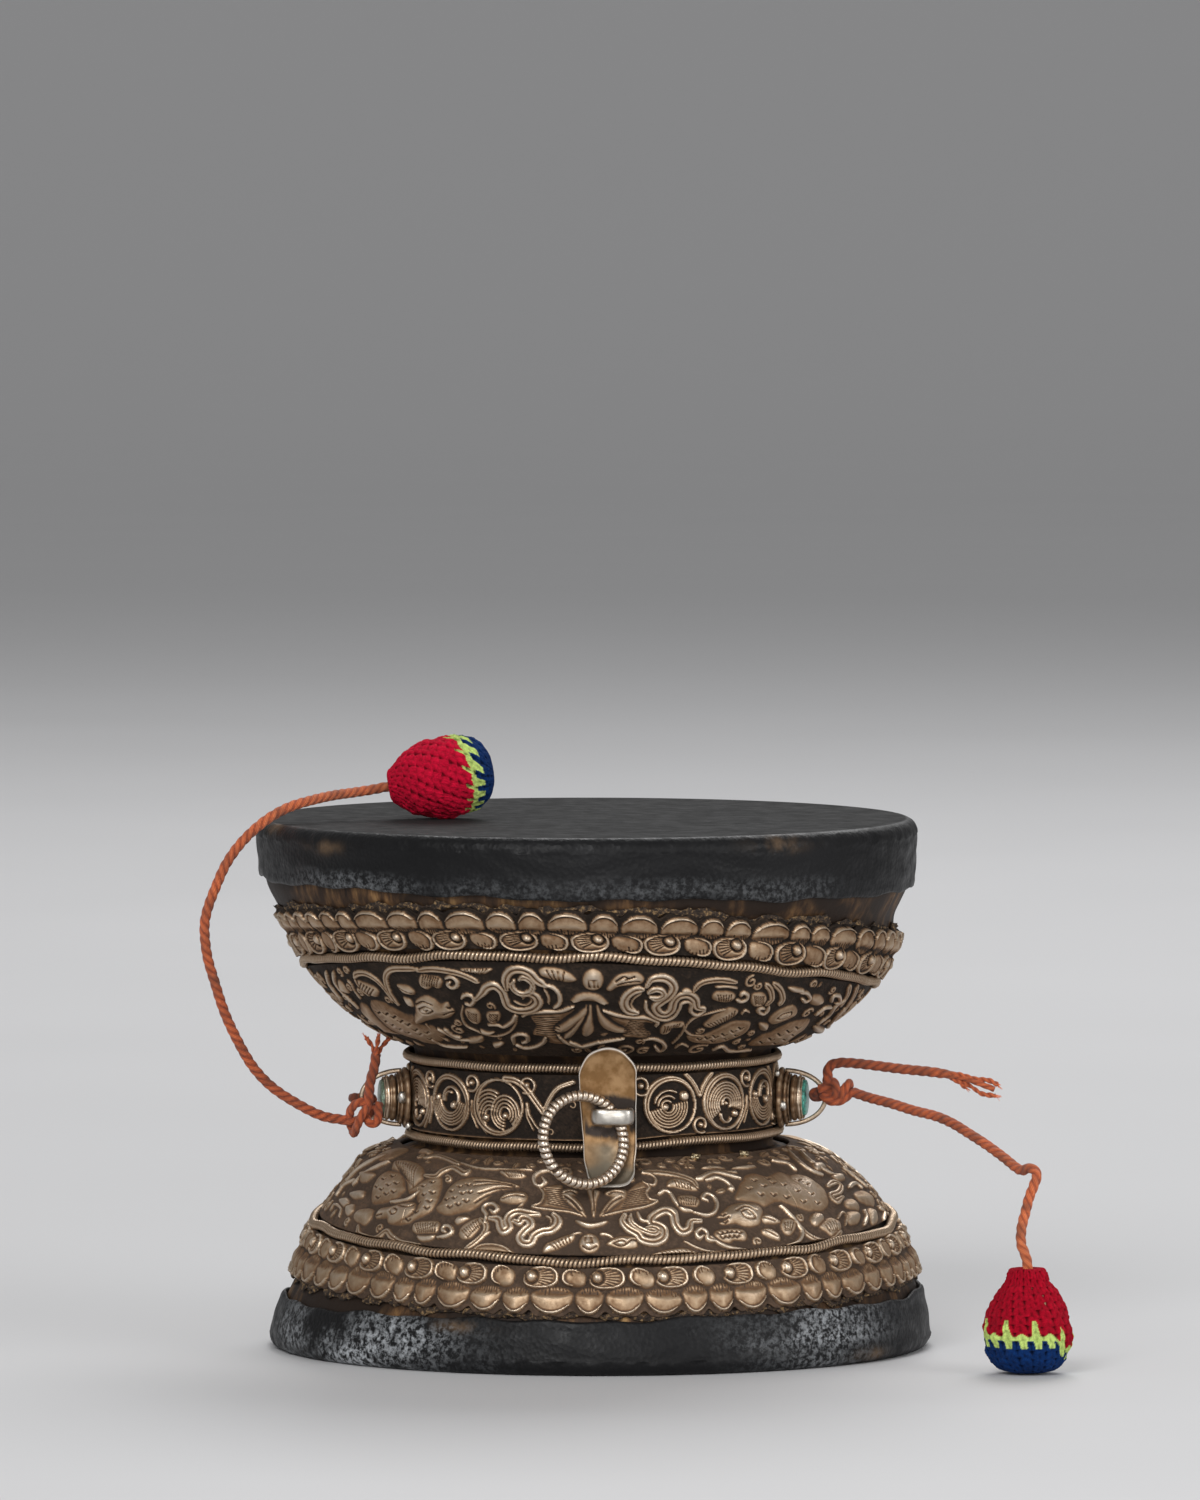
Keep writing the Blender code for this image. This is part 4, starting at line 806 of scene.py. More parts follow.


# The figures on both jackets' fronts, drawn over four enlarged views of the photograph. corner is a view's
# upper left photo pixel, scale its pixels to a photo pixel, and a stroke is its x,y pairs. A fan starts with its
# number of cuts, which run from the line of its first two points to the line of its last two.
sketches = {
    "upper": [
        {"corner": (270, 890), "scale": 4.7515,
         "head": [(700,520, 740,505, 780,520, 810,540, 840,538, 855,560, 872,575, 868,595, 840,612, 800,612, 770,618,
             740,625, 700,640, 680,615, 690,580, 685,545)],
         "body": [(478,530, 530,535, 580,560, 640,590, 690,600, 720,640, 770,650, 830,690, 800,735, 740,730, 700,715,
             650,700, 600,680, 550,650, 510,610, 480,570), (430,540, 470,560, 520,610, 570,660, 620,690, 560,680,
             500,640, 450,600, 425,570)],
         "blob": [(1275,385, 1300,370, 1350,370, 1400,385, 1435,405, 1455,430, 1420,440, 1370,432, 1320,422,
             1285,410), (1500,560, 1440,600, 1380,640, 1350,660, 1370,680, 1420,670, 1470,630, 1510,590), (1525,560,
             1500,610, 1480,660, 1500,690, 1530,680, 1535,620), (602,452, 650,455, 685,480, 680,500, 640,495,
             615,475), (632,512, 665,520, 690,548, 680,560, 650,545), (940,705, 1005,700, 1010,725, 950,730),
             (412,430, 440,440, 490,460, 515,485, 505,510, 470,500, 430,470), (320,430, 350,450, 375,490, 350,490,
             325,465), (905,378, 1045,375, 1030,395, 1000,402, 950,395), (720,400, 760,408, 800,415, 820,440, 800,470,
             770,462, 745,475, 715,460, 705,430), (925,570, 960,560, 995,585, 1000,620, 985,640, 955,630, 930,600),
             (1028,590, 1050,578, 1085,582, 1095,605, 1080,630, 1050,635, 1030,615), (1000,665, 1030,672, 1065,680,
             1040,690, 1005,680), (1060,730, 1095,725, 1110,735, 1085,750, 1062,745)],
         "flat": [(1250,590, 1440,570, 1400,610, 1350,650, 1370,690, 1420,720, 1480,750, 1420,740, 1330,730, 1290,700,
             1250,690, 1265,650, 1240,610)],
         "curl": [(1300,450, 1345,465, 1375,500, 1375,540, 1350,560), (1200,600, 1230,585, 1300,578, 1380,575,
             1440,555), (1370,690, 1400,720, 1440,735, 1500,745, 1560,720), (800,660, 840,680, 890,705, 940,712,
             1000,715), (760,700, 820,735, 880,745, 935,745), (830,660, 870,690, 905,700), (300,390, 310,440, 350,490,
             420,560), (265,390, 285,450, 340,520), (835,420, 860,412, 885,430, 888,455, 865,465, 845,450, 855,438),
             (910,515, 925,500, 955,502, 970,525, 955,545, 930,540), (1040,640, 1080,640, 1110,650, 1140,635,
             1160,615, 1165,595), (1160,730, 1155,700, 1180,685, 1215,690, 1225,715, 1200,725), (1170,735, 1210,750,
             1260,745, 1300,725, 1310,700)],
         "stem": [(1160,530, 1190,545, 1225,545, 1245,520, 1220,505, 1200,520), (1300,470, 1320,505, 1325,545),
             (740,640, 800,690, 850,720), (420,400, 400,420, 430,470, 470,505), (365,430, 385,450, 400,480, 430,520),
             (915,555, 910,600, 930,645, 980,670, 1030,690, 1090,695, 1140,675, 1165,640, 1175,600)],
         "cloud": [(980,518, 1010,490, 1030,465, 1065,455, 1100,480, 1115,515, 1130,550, 1170,570, 1215,572, 1255,560,
             1275,535, 1262,505, 1230,490, 1200,500), (1125,470, 1120,420, 1145,385, 1190,378, 1235,395, 1270,430,
             1310,455)],
         "coil": [(1185,425, 1205,415, 1235,430, 1250,455, 1235,485, 1200,492, 1170,480, 1150,455, 1160,430)],
         "vine": [(608,545, 580,510, 555,460, 548,410, 575,380, 640,376, 700,378), (400,415, 410,400, 450,398,
             500,425, 545,470, 580,520), (700,385, 760,378, 830,385, 900,400, 960,425, 985,440)],
         "line": [(870,580, 850,582, 825,590), (712,562, 745,549, 778,566, 750,582, 720,575, 712,562), (695,543,
             730,528, 772,541), (612,464, 672,491)],
         "spots": [(852,560, 745,566, 515,580, 552,585, 588,600, 547,620, 582,635, 622,620, 617,655, 657,635, 657,672,
             692,660, 712,680, 745,675, 760,705)],
         "fan": [(4, 1300,380, 1410,392, 1330,420, 1400,436), (9, 1255,605, 1270,690, 1370,600, 1380,700), (5,
             425,440, 500,475, 420,462, 480,505), (8, 915,380, 1035,378, 940,398, 1010,400), (7, 722,405, 805,420,
             718,452, 795,462), (5, 935,575, 985,590, 945,612, 985,630), (5, 1040,590, 1085,592, 1045,625, 1080,625)]},
        {"corner": (570, 890), "scale": 4.48,
         "head": [(103,357, 137,371, 151,405, 137,439, 103,453, 69,439, 55,405, 69,371)],
         "body": [(800,700, 850,660, 900,640, 960,610, 1020,590, 1075,585, 1060,620, 1020,650, 960,690, 900,700)],
         "blob": [(165,440, 200,395, 240,375, 300,370, 335,395, 325,420, 280,430, 220,435, 180,455), (5,500, 30,470,
             85,457, 140,475, 170,515, 100,500, 50,500), (75,520, 50,560, 10,610, -20,640, -30,665, 5,660, 40,620,
             70,570), (85,525, 97,525, 102,580, 107,630, 85,655, 60,655, 55,630, 75,580), (120,520, 150,560, 200,600,
             250,625, 250,640, 200,640, 150,620, 125,580), (500,450, 525,440, 552,452, 535,465, 505,465), (655,432,
             700,424, 745,434, 750,446, 700,440, 660,442), (640,470, 668,452, 720,455, 745,478, 720,502, 680,504,
             642,492), (808,490, 825,465, 865,462, 885,485, 870,515, 830,525), (600,610, 625,580, 670,545, 720,530,
             755,545, 730,575, 680,600, 630,620), (530,655, 600,650, 660,625, 720,595, 780,590, 810,600, 790,640,
             730,670, 660,690, 590,690, 540,680), (405,630, 420,605, 460,592, 510,595, 505,615, 460,625, 440,645,
             410,648), (890,590, 910,560, 950,535, 1000,520, 1020,540, 1010,565, 960,590, 910,605), (850,600, 855,630,
             885,625, 890,600), (980,440, 1010,435, 1050,445, 1045,462, 1000,460), (1072,490, 1090,472, 1125,475,
             1140,500, 1110,520, 1080,512), (1090,620, 1120,610, 1150,640, 1110,650)],
         "flat": [(150,540, 210,560, 280,570, 340,572, 390,590, 385,610, 345,600, 330,620, 360,650, 350,670, 290,665,
             240,660, 250,625, 190,590)],
         "curl": [(18,500, 85,479, 155,510), (150,540, 210,560, 280,570, 340,572, 390,590, 385,610), (0,680, 50,700,
             100,690, 150,680, 240,665), (330,670, 370,665, 410,680, 425,705, 400,720, 380,700), (340,500, 345,540,
             385,572, 430,582, 468,565, 490,530, 500,508, 530,500, 545,515, 542,545, 570,560, 605,540), (745,490,
             765,500, 790,490, 795,470, 775,462, 765,475), (890,520, 885,540, 865,555, 845,545, 850,530, 870,530),
             (640,715, 680,700, 710,720, 760,720, 810,715), (1030,460, 1060,462, 1075,485, 1055,500, 1040,488),
             (1170,500, 1180,475, 1205,475, 1208,500, 1190,508), (1100,560, 1140,530, 1170,525), (1110,600, 1160,560,
             1190,520, 1230,490), (1150,615, 1200,560, 1230,530)],
         "stem": [(320,465, 285,490, 275,520, 300,545), (515,630, 530,600, 570,570, 640,550, 700,535), (510,625,
             540,650, 600,655), (510,600, 510,630, 490,660, 460,690), (770,560, 785,542, 805,550), (470,710, 500,692,
             530,705)],
         "cloud": [(325,445, 290,450, 255,475, 242,510, 260,540, 300,550), (345,430, 370,400, 420,395, 455,415,
             465,445, 440,480, 405,505, 385,525, 400,550, 430,555, 455,535, 465,500, 490,475, 530,470, 560,490,
             570,525, 600,530)],
         "coil": [(350,460, 380,445, 410,450, 420,470, 390,485, 360,480)],
         "vine": [(555,455, 580,425, 620,410, 680,405, 745,415), (880,425, 900,450, 905,490, 880,515), (915,420,
             945,450, 955,490, 940,515), (1255,430, 1245,470, 1215,520), (1290,430, 1270,480, 1230,540)],
         "line": [(205,410, 240,390, 262,396), (250,402, 290,388), (215,425, 262,412, 310,410), (925,575, 950,555,
             990,545, 985,560, 950,575, 925,575)],
         "spots": [(580,668, 615,662, 650,655, 690,645, 730,630, 765,618, 640,675, 700,665, 745,650, 860,680, 900,665,
             940,645, 980,630, 1020,615, 920,685, 960,665, 1000,645)],
         "fan": [(6, 82,400, 124,400, 78,436, 128,436), (10, 270,585, 230,650, 375,600, 350,660), (6, 655,468,
             730,470, 665,498, 722,498), (6, 822,475, 872,478, 828,512, 866,510), (10, 610,605, 745,540, 640,618,
             735,572), (6, 420,612, 500,598, 415,642, 470,622)]}],
    "lower": [
        {"corner": (290, 1130), "scale": 4.7515,
         "head": [(1422,490, 1456,504, 1471,538, 1456,572, 1422,586, 1388,572, 1373,538, 1388,504), (405,400, 430,370,
             480,360, 530,345, 580,340, 602,360, 592,390, 560,420, 500,445, 465,440, 455,420, 412,417)],
         "body": [(690,370, 720,330, 745,280, 790,240, 850,222, 920,224, 990,240, 1050,250, 1082,264, 1020,276,
             960,300, 920,340, 870,375, 800,395, 730,398), (385,290, 410,230, 450,195, 500,190, 535,215, 550,270,
             530,300, 500,330, 440,345, 390,345), (480,190, 495,145, 560,140, 620,170, 640,230, 600,280, 560,290,
             548,240, 520,200), (560,290, 620,240, 700,212, 722,240, 712,300, 690,360, 640,402, 560,440, 500,450,
             462,437, 520,420, 580,392, 602,350, 590,310)],
         "blob": [(1290,285, 1330,276, 1365,290, 1350,310, 1385,355, 1400,402, 1368,385, 1330,345, 1290,325),
             (1412,285, 1440,280, 1472,290, 1455,340, 1447,400, 1438,400, 1430,345), (1358,425, 1430,440, 1505,428,
             1485,452, 1430,466, 1385,455), (1200,572, 1215,540, 1260,520, 1300,503, 1350,492, 1348,520, 1310,545,
             1262,568, 1215,582), (995,195, 1050,190, 1100,195, 1118,215, 1080,228, 1030,220), (300,405, 330,375,
             390,375, 385,420, 350,450, 310,430), (265,360, 300,350, 300,380, 275,405, 260,390), (280,300, 320,285,
             355,290, 340,320, 300,325), (230,330, 270,320, 280,345, 250,365), (330,200, 370,190, 400,210, 360,245,
             330,240), (400,130, 450,100, 520,82, 560,88, 520,112, 450,140), (610,102, 650,90, 680,100, 650,112),
             (578,470, 590,440, 640,430, 700,432, 712,460, 690,488, 640,492, 600,490), (602,500, 650,498, 692,496,
             682,518, 645,530, 612,525), (780,430, 800,407, 840,406, 852,420, 822,440, 792,446), (800,490, 820,450,
             870,420, 912,416, 915,440, 890,480, 860,510, 820,515), (995,330, 1020,300, 1070,290, 1115,295, 1127,325,
             1102,350, 1060,350, 1030,345)],
         "flat": [(1180,268, 1240,262, 1290,262, 1300,330, 1370,395, 1330,388, 1250,378, 1150,362, 1190,345,
             1205,305), (860,577, 900,547, 960,541, 1020,556, 1056,590)],
         "curl": [(1230,192, 1190,197, 1160,220, 1165,255, 1190,266, 1212,246, 1200,226), (480,342, 550,332, 598,306,
             620,290), (270,240, 330,180, 400,140, 460,120), (300,260, 350,210, 420,170, 470,150), (220,310, 260,260,
             310,235), (700,510, 740,502, 768,485, 762,460, 737,455, 725,473, 740,485), (925,440, 932,400, 917,375,
             930,355, 965,350, 985,370, 970,390, 950,380)],
         "stem": [(1180,268, 1205,300, 1190,342, 1150,362, 1250,378, 1330,388, 1385,405), (1330,500, 1355,490,
             1382,485), (1478,488, 1505,492, 1530,502), (1215,405, 1238,420, 1238,450, 1205,470), (1130,492, 1150,502,
             1172,482), (462,485, 490,500, 520,520, 560,545), (190,380, 210,350, 240,372, 230,410), (800,150, 900,178,
             1040,184, 1150,186), (950,480, 900,520, 850,560), (1110,345, 1085,365, 1070,385), (860,577, 900,547,
             960,541, 1020,556, 1056,590)],
         "cloud": [(950,420, 990,425, 1000,460, 1015,480, 1040,462, 1032,430, 1048,402, 1085,388, 1130,396, 1180,400),
             (1065,432, 1090,440, 1105,420, 1135,428, 1142,452, 1112,480, 1092,510, 1108,536, 1142,536, 1162,502,
             1200,482, 1240,476, 1268,452, 1272,422, 1252,400)],
         "vine": [(640,215, 690,220, 720,195, 770,176, 800,186, 828,202, 852,190), (322,455, 328,495, 400,515,
             455,480, 480,505, 530,535, 610,545), (640,130, 700,122, 760,140, 800,160), (905,420, 930,450, 920,490,
             880,530, 830,565)],
         "line": [(1305,300, 1335,292, 1352,300), (1310,318, 1350,345, 1380,380), (1440,290, 1444,340, 1443,380),
             (1392,552, 1422,568, 1455,552), (1062,262, 960,256, 880,266), (1062,268, 980,276, 900,302), (1050,256,
             960,244, 880,244), (1000,282, 930,312, 880,345), (478,388, 494,374, 514,384, 508,400, 488,404, 478,388),
             (410,405, 440,400), (520,360, 560,370, 590,355), (1010,325, 1060,312, 1110,315)],
         "spots": [(770,290, 810,270, 850,262, 745,330, 785,325, 825,305, 860,300, 760,365, 800,355, 840,340, 415,270,
             450,235, 490,220, 440,285, 475,265, 510,255, 420,320, 460,305, 495,295, 640,270, 680,250, 640,310,
             680,300, 665,340, 610,345, 600,390, 650,370, 560,425)],
         "fan": [(9, 1215,272, 1225,350, 1285,275, 1330,372), (6, 1398,510, 1446,510, 1402,540, 1442,540), (6,
             1230,545, 1335,500, 1255,568, 1335,525), (7, 1010,196, 1100,198, 1035,218, 1105,218), (9, 500,150,
             610,175, 525,205, 590,275), (9, 590,448, 700,440, 602,484, 690,482), (8, 812,480, 895,420, 840,510,
             905,450)]},
        {"corner": (560, 1130), "scale": 4.2378,
         "head": [(970,198, 1010,186, 1060,202, 1100,240, 1112,292, 1080,305, 1030,272, 990,232), (668,370, 690,345,
             730,315, 790,305, 840,315, 862,345, 852,390, 820,406, 780,406, 740,396, 692,398, 682,390, 702,380)],
         "body": [(745,280, 780,200, 820,180, 880,195, 930,175, 975,190, 1040,200, 1090,220, 1130,260, 1140,310,
             1110,340, 1060,340, 1000,320, 940,300, 900,305, 870,320, 830,310, 780,300)],
         "blob": [(282,256, 250,246, 200,255, 190,268, 215,285, 190,320, 170,362, 232,320, 280,290), (50,256, 6,262,
             20,300, 60,330, 108,364, 88,332, 52,290, 66,275), (200,480, 230,455, 280,446, 322,450, 333,475, 320,496,
             280,501, 230,491), (455,235, 470,205, 520,202, 560,225, 582,252, 540,252, 490,242), (495,290, 510,275,
             560,275, 592,295, 580,320, 540,320, 505,310), (500,322, 550,332, 572,348, 522,345), (850,366, 880,354,
             930,380, 932,394, 880,396, 855,386), (858,420, 890,415, 930,440, 932,466, 890,456, 862,440), (572,196,
             608,192, 612,212, 578,216), (716,235, 740,240, 732,258, 712,248), (935,400, 950,375, 990,376, 1006,400,
             982,440, 952,436), (1062,372, 1080,350, 1112,354, 1122,382, 1096,406, 1070,396), (1100,402, 1140,370,
             1186,386, 1192,420, 1160,450, 1130,432), (655,450, 665,425, 710,416, 770,418, 793,440, 785,466, 742,466,
             720,480, 690,480), (690,484, 740,490, 777,505, 735,500), (392,537, 420,516, 480,502, 532,500, 572,515,
             602,532, 500,538), (1205,300, 1240,290, 1270,320, 1262,346, 1220,330), (1215,350, 1250,340, 1276,360,
             1266,392, 1236,400, 1215,386), (1250,265, 1290,255, 1332,290, 1330,322, 1290,310, 1262,290), (1310,330,
             1340,340, 1350,380, 1330,402, 1310,370), (1070,140, 1100,135, 1130,160, 1095,168), (1150,190, 1185,182,
             1210,205, 1180,215), (600,158, 640,152, 700,160, 650,168), (730,158, 780,150, 830,150, 800,166)],
         "flat": [(290,252, 350,215, 378,240, 365,262, 382,290, 413,297, 370,320, 300,335, 240,347, 190,360, 235,320)],
         "curl": [(330,350, 345,380, 370,385, 385,365, 420,340, 455,330, 488,345, 502,385), (418,270, 440,256,
             466,266, 480,288, 498,318), (570,350, 622,360, 656,345, 666,310, 646,278, 617,270, 605,288, 625,300),
             (765,205, 700,186, 650,180, 600,200, 578,206), (735,250, 705,218, 660,200, 620,212), (935,320, 970,352,
             1010,400, 1028,440, 1000,480, 930,502, 830,513, 740,503, 680,482, 640,452), (662,472, 628,462, 622,432,
             597,418, 578,435, 590,456, 608,446), (1350,325, 1375,350, 1372,385), (1290,340, 1300,370, 1290,400),
             (970,90, 1010,130, 1060,168, 1112,190), (1020,90, 1062,130, 1120,168, 1182,200), (900,130, 960,140,
             1000,168), (1200,160, 1250,200, 1300,240), (1225,240, 1250,225, 1280,245)],
         "stem": [(350,215, 378,238, 365,262, 382,290, 413,297, 370,320, 300,335, 240,347, 180,362), (170,440,
             195,442, 225,455), (345,180, 382,185, 406,205, 397,230, 372,226), (610,160, 680,172, 750,176), (530,470,
             580,496, 650,516, 740,511), (1180,372, 1200,346, 1216,366, 1213,400)],
         "cloud": [(275,360, 265,388, 290,418, 330,442, 350,466, 400,475, 438,455, 440,420, 412,402, 388,395, 390,372,
             415,352, 450,342, 480,360, 490,400, 515,430, 545,420, 555,388, 595,386)],
         "coil": [(300,360, 302,390, 330,415, 370,435, 402,440, 415,425, 388,415, 360,420)],
         "vine": [(350,175, 430,178, 500,190, 560,212, 582,240), (1135,235, 1165,220, 1192,235, 1182,262, 1150,275,
             1172,300, 1200,282), (1012,400, 1050,442, 1110,470, 1162,465, 1192,430)],
         "line": [(265,268, 230,262, 208,270), (262,285, 222,305, 188,345), (20,280, 50,305, 85,340), (225,480,
             262,468, 280,482, 260,490, 235,484), (285,480, 305,466, 322,470), (764,350, 790,340, 826,372, 800,378,
             776,368, 764,350), (792,352, 800,362), (668,374, 700,376, 716,368), (745,345, 785,325, 830,345),
             (866,372, 910,384), (872,426, 918,450)],
         "spots": [(822,215, 860,240, 900,225, 945,235, 960,285, 1000,262, 1005,215, 1040,235, 1060,275, 1090,310,
             905,275, 850,275, 800,250, 880,205, 1030,305, 690,360, 700,388, 680,440, 700,435, 720,432, 740,432,
             760,435, 690,455, 710,452, 730,450, 750,450)],
         "fan": [(9, 300,255, 260,330, 360,240, 370,315), (6, 480,212, 560,232, 490,238, 560,250), (7, 505,285,
             585,290, 512,312, 578,316), (4, 945,390, 995,392, 952,425, 985,425), (5, 1115,402, 1170,385, 1140,430,
             1180,425), (8, 420,518, 560,510, 450,538, 590,530)]}],
}
# closed areas (height, edge), ridges and bands (width, height) and cuts (width, depth), in millimetres
strokes = {"head": (1.15, 1.2), "body": (0.95, 1.5), "blob": (0.88, 0.75), "flat": (0.60, 0.6), "curl": (1.05, 0.88),
           "stem": (0.62, 0.62), "cloud": (1.95, 0.95), "coil": (1.25, 1.05), "vine": (1.4, 0.70), "line": (0.36, 0.5),
           "spots": (0.34, 0.55), "fan": (0.29, 0.36)}
sight = {"place": (0.0, -3.0, 0.292), "aim": (0.0, 0.0, 0.115), "focal": 15596.0, "middle": (600.0, 750.0)}


def underPixels(bowl, pixels):
    # (angle, length) on a jacket under photo pixels. For each of many lengths the pixel's column gives the sine of the
    # angle, (x - axis) / radius with x = column * depth / focal, and the length whose row fits the pixel is taken.
    back = np.subtract(sight["aim"], sight["place"])
    back = back / np.linalg.norm(back)
    across, down = (np.array(pixels, dtype=float) - sight["middle"]).T[..., None] / sight["focal"]
    runs = np.linspace(0.0, bowl.run[-1], 420)[None, :]
    radius, z = bowl.at(runs, drum["gap"] + drum["sheet"])
    y = -radius
    for _ in range(5):
        depth = (y - sight["place"][1]) * back[1] + (z - sight["place"][2]) * back[2]
        sine = np.clip((across * depth - axisX(z)) / radius, -0.9995, 0.9995)
        y = -radius * np.sqrt(1.0 - sine ** 2)
    rise = (z - sight["place"][2]) * back[1] - (y - sight["place"][1]) * back[2]
    miss = bowl.side * (rise / depth + down)
    found = []
    for row, angle in zip(miss, np.arcsin(sine)):
        run = np.interp(0.0, np.maximum.accumulate(row), runs[0])
        found.append((np.interp(run, runs[0], angle), run))
    return np.array(found)


def drawSketch(relief, sketch, kind):
    first, second = strokes[kind]

    def placed(pairs):
        return underPixels(relief.bowl, np.array(sketch["corner"]) + np.asarray(pairs) / sketch["scale"])

    for numbers in sketch.get(kind, ()):
        points = np.array(numbers[1:] if kind == "fan" else numbers, dtype=float).reshape(-1, 2)
        if kind in ("head", "body", "blob", "flat"):
            relief.raiseArea(placed(throughPoints(points, 4, closed=True)), first, second, 0.45, 0.20)
        elif kind == "fan":
            for t in (np.arange(numbers[0]) + 0.5) / numbers[0]:
                relief.cutLine(placed(points[[0, 2]] * (1 - t) + points[[1, 3]] * t), first, second)
        elif kind == "spots":
            for spot in points:
                relief.cutLine(placed(spot + np.array([(-11, -4), (0, 5), (11, -3)])), first, second)
        elif kind == "line":
            relief.cutLine(placed(throughPoints(points, 5)), first, second)
        else:
            line = throughPoints(points, 6)
            along = np.linspace(0.0, 1.0, len(line))
            taper = 1.0 - 0.45 * smooth(0.12, 0.0, along) - 0.45 * smooth(0.88, 1.0, along)
            relief.raiseLine(placed(line), first * taper, second, "round" if kind in ("curl", "stem") else "band")


def fillGround(relief, seed):
    # leaves and curls, the larger first, wherever a window of the ground is still plain
    dice = np.random.default_rng(seed)
    for size, tries in ((2.1, 500), (1.4, 900), (0.95, 1400)):
        for column, share, lean, kind in zip(dice.integers(0, len(relief.angle), tries), dice.uniform(0.10, 0.95, tries),
                                             dice.uniform(0.0, 6.28, tries), dice.uniform(0.0, 1.0, tries)):
            runs = relief.run[:, column]
            run = runs[0] + share * (runs[-1] - runs[0])
            rows = np.flatnonzero(np.abs(runs - run) < size * 0.0010)
            radius = relief.radius[rows[0], column]
            span = int(size * 0.0010 / radius / relief.step)
            near = (column + np.arange(-span, span + 1)) % len(relief.angle)
            if relief.height[np.ix_(rows, near)].max() > 0.00012:
                continue
            if kind < 0.55:
                turn = lean + np.linspace(0.0, 7.2, 26)
                reach = np.linspace(0.95, 0.22, 26) * size
                shape = np.column_stack([reach * np.cos(turn), reach * np.sin(turn)])
            else:
                shape = throughPoints([(-1.0, 0.0), (-0.2, 0.45), (0.5, 0.38), (1.05, 0.0), (0.5, -0.38), (-0.2, -0.45)],
                                      4, closed=True) * size
                shape = shape @ np.array([(math.cos(lean), math.sin(lean)), (-math.sin(lean), math.cos(lean))])
            place = np.column_stack([relief.angle[column] + shape[:, 0] / radius / 1000.0, run + shape[:, 1] / 1000.0])
            if kind < 0.55:
                relief.raiseLine(place, 0.42 + 0.20 * size, 0.52)
            else:
                relief.raiseArea(place, 0.56, 0.60, 0.30)
                relief.cutLine(place[[0, 12]] if len(place) > 12 else place[:2], 0.26, 0.30)


def figureJacket(bowl, prefix, seed):
    # the front's figures with soft skirts round them, and the same once more behind, half a turn round
    columns, rows = jacketGrid["columns"], jacketGrid["rows"]
    angles = np.linspace(0.0, 2 * math.pi, columns, endpoint=False)
    start, end = edgeRuns(bowl, prefix, angles)[:2]
    share = np.linspace(0.0, 1.0, rows)[:, None]
    relief = Relief(bowl, angles, start + (end[None, :] - start) * share)
    for kind in strokes:
        for sketch in sketches[prefix]:
            drawSketch(relief, sketch, kind)
    relief.height = np.maximum(relief.height, np.roll(relief.height, columns // 2, axis=1))
    fillGround(relief, seed + 7)
    relief.height = np.maximum(relief.height, 0.60 * blurred(relief.height, 12))
    sheetPieces(prefix + "_figures", relief, bowl.finish, jacketGrid["baseOff"], (0.125, 0.375, 0.625, 0.875),
                (prefix + "_jacket",), "silver_relief", seed)


for bowl, prefix, seed in ((upperBowl, "upper", 11), (lowerBowl, "lower", 23)):
    lotusBand(bowl, prefix, seed)
    wireOnBowl(bowl, prefix, seed + 1)
    figureJacket(bowl, prefix, seed + 2)
print("jackets, lotus bands and milled wires made")


# ---- wood and skins

bodyDetail = {
    "segments": 384, "rimWall": 0.0050, "upperFloorRise": 0.0122, "lowerFloorDrop": 0.0143, "chamberPower": 2.4,
    "socket": (0.0078, 0.0083),        # radius and depth of the dowel's hole
    "rimRound": 0.0012, "lip": 0.00022, "grime": 0.00036,
}


def revolved(name, radius, height, finish, seed=0, **rest):
    # rows of radius and height (row by column) set round the drum's axis, the row's two ends on the axis
    columns = radius.shape[1]
    angles = np.linspace(0.0, 2 * math.pi, columns, endpoint=False)
    rings = onDrum(radius, angles[None, :], height)
    return sweep(name, rings, finish, "drum", **rest)


def turnedBowl(bowl, prefix, finish):
    # outside along the bowl's curve, round the rim, down the chamber (a power curve), and through the dowel's hole
    angles = np.linspace(0.0, 2 * math.pi, bodyDetail["segments"], endpoint=False)
    face = drum["waistHeight"] + bowl.side * drum["gap"] / 2
    floor = drum["waistHeight"] + (bodyDetail["upperFloorRise"] if bowl.side > 0 else -bodyDetail["lowerFloorDrop"])
    outside = evenPoints(bowl.line, 70)
    share = np.sin(np.linspace(0.0, math.pi / 2, 18))
    wide = (drum["rimRadius"] - bodyDetail["rimWall"]) * np.sqrt(1.0 - share ** bodyDetail["chamberPower"])
    chamber = np.column_stack([wide, bowl.rimZ + (floor - bowl.rimZ) * share])[:-1]
    corner = [[drum["rimRadius"] - bodyDetail["rimRound"] * 0.3, bowl.rimZ - bowl.side * 0.0004],
              [drum["rimRadius"] - bodyDetail["rimRound"], bowl.rimZ]]
    radius, depth = bodyDetail["socket"]
    hole = [[radius, face]]
    deep = [[radius, drum["waistHeight"] + bowl.side * depth]]
    # the closed section is the stations, and the angles the places, so the ends are the chamber's floor and the hole
    profile = np.vstack([deep, hole, [[drum["neckRadius"], face]], outside, corner, chamber])
    uneven = np.zeros((len(profile), len(angles)))
    uneven[3:73] = ripple(angles, 5, [23, 41, 67], 0.00003)[None, :]
    revolved(prefix + "_turned_wood", profile[:, :1] + uneven, profile[:, 1:] + 0.0 * uneven, finish,
             stands=(prefix + "_bowl",), slot="wood_" + prefix)


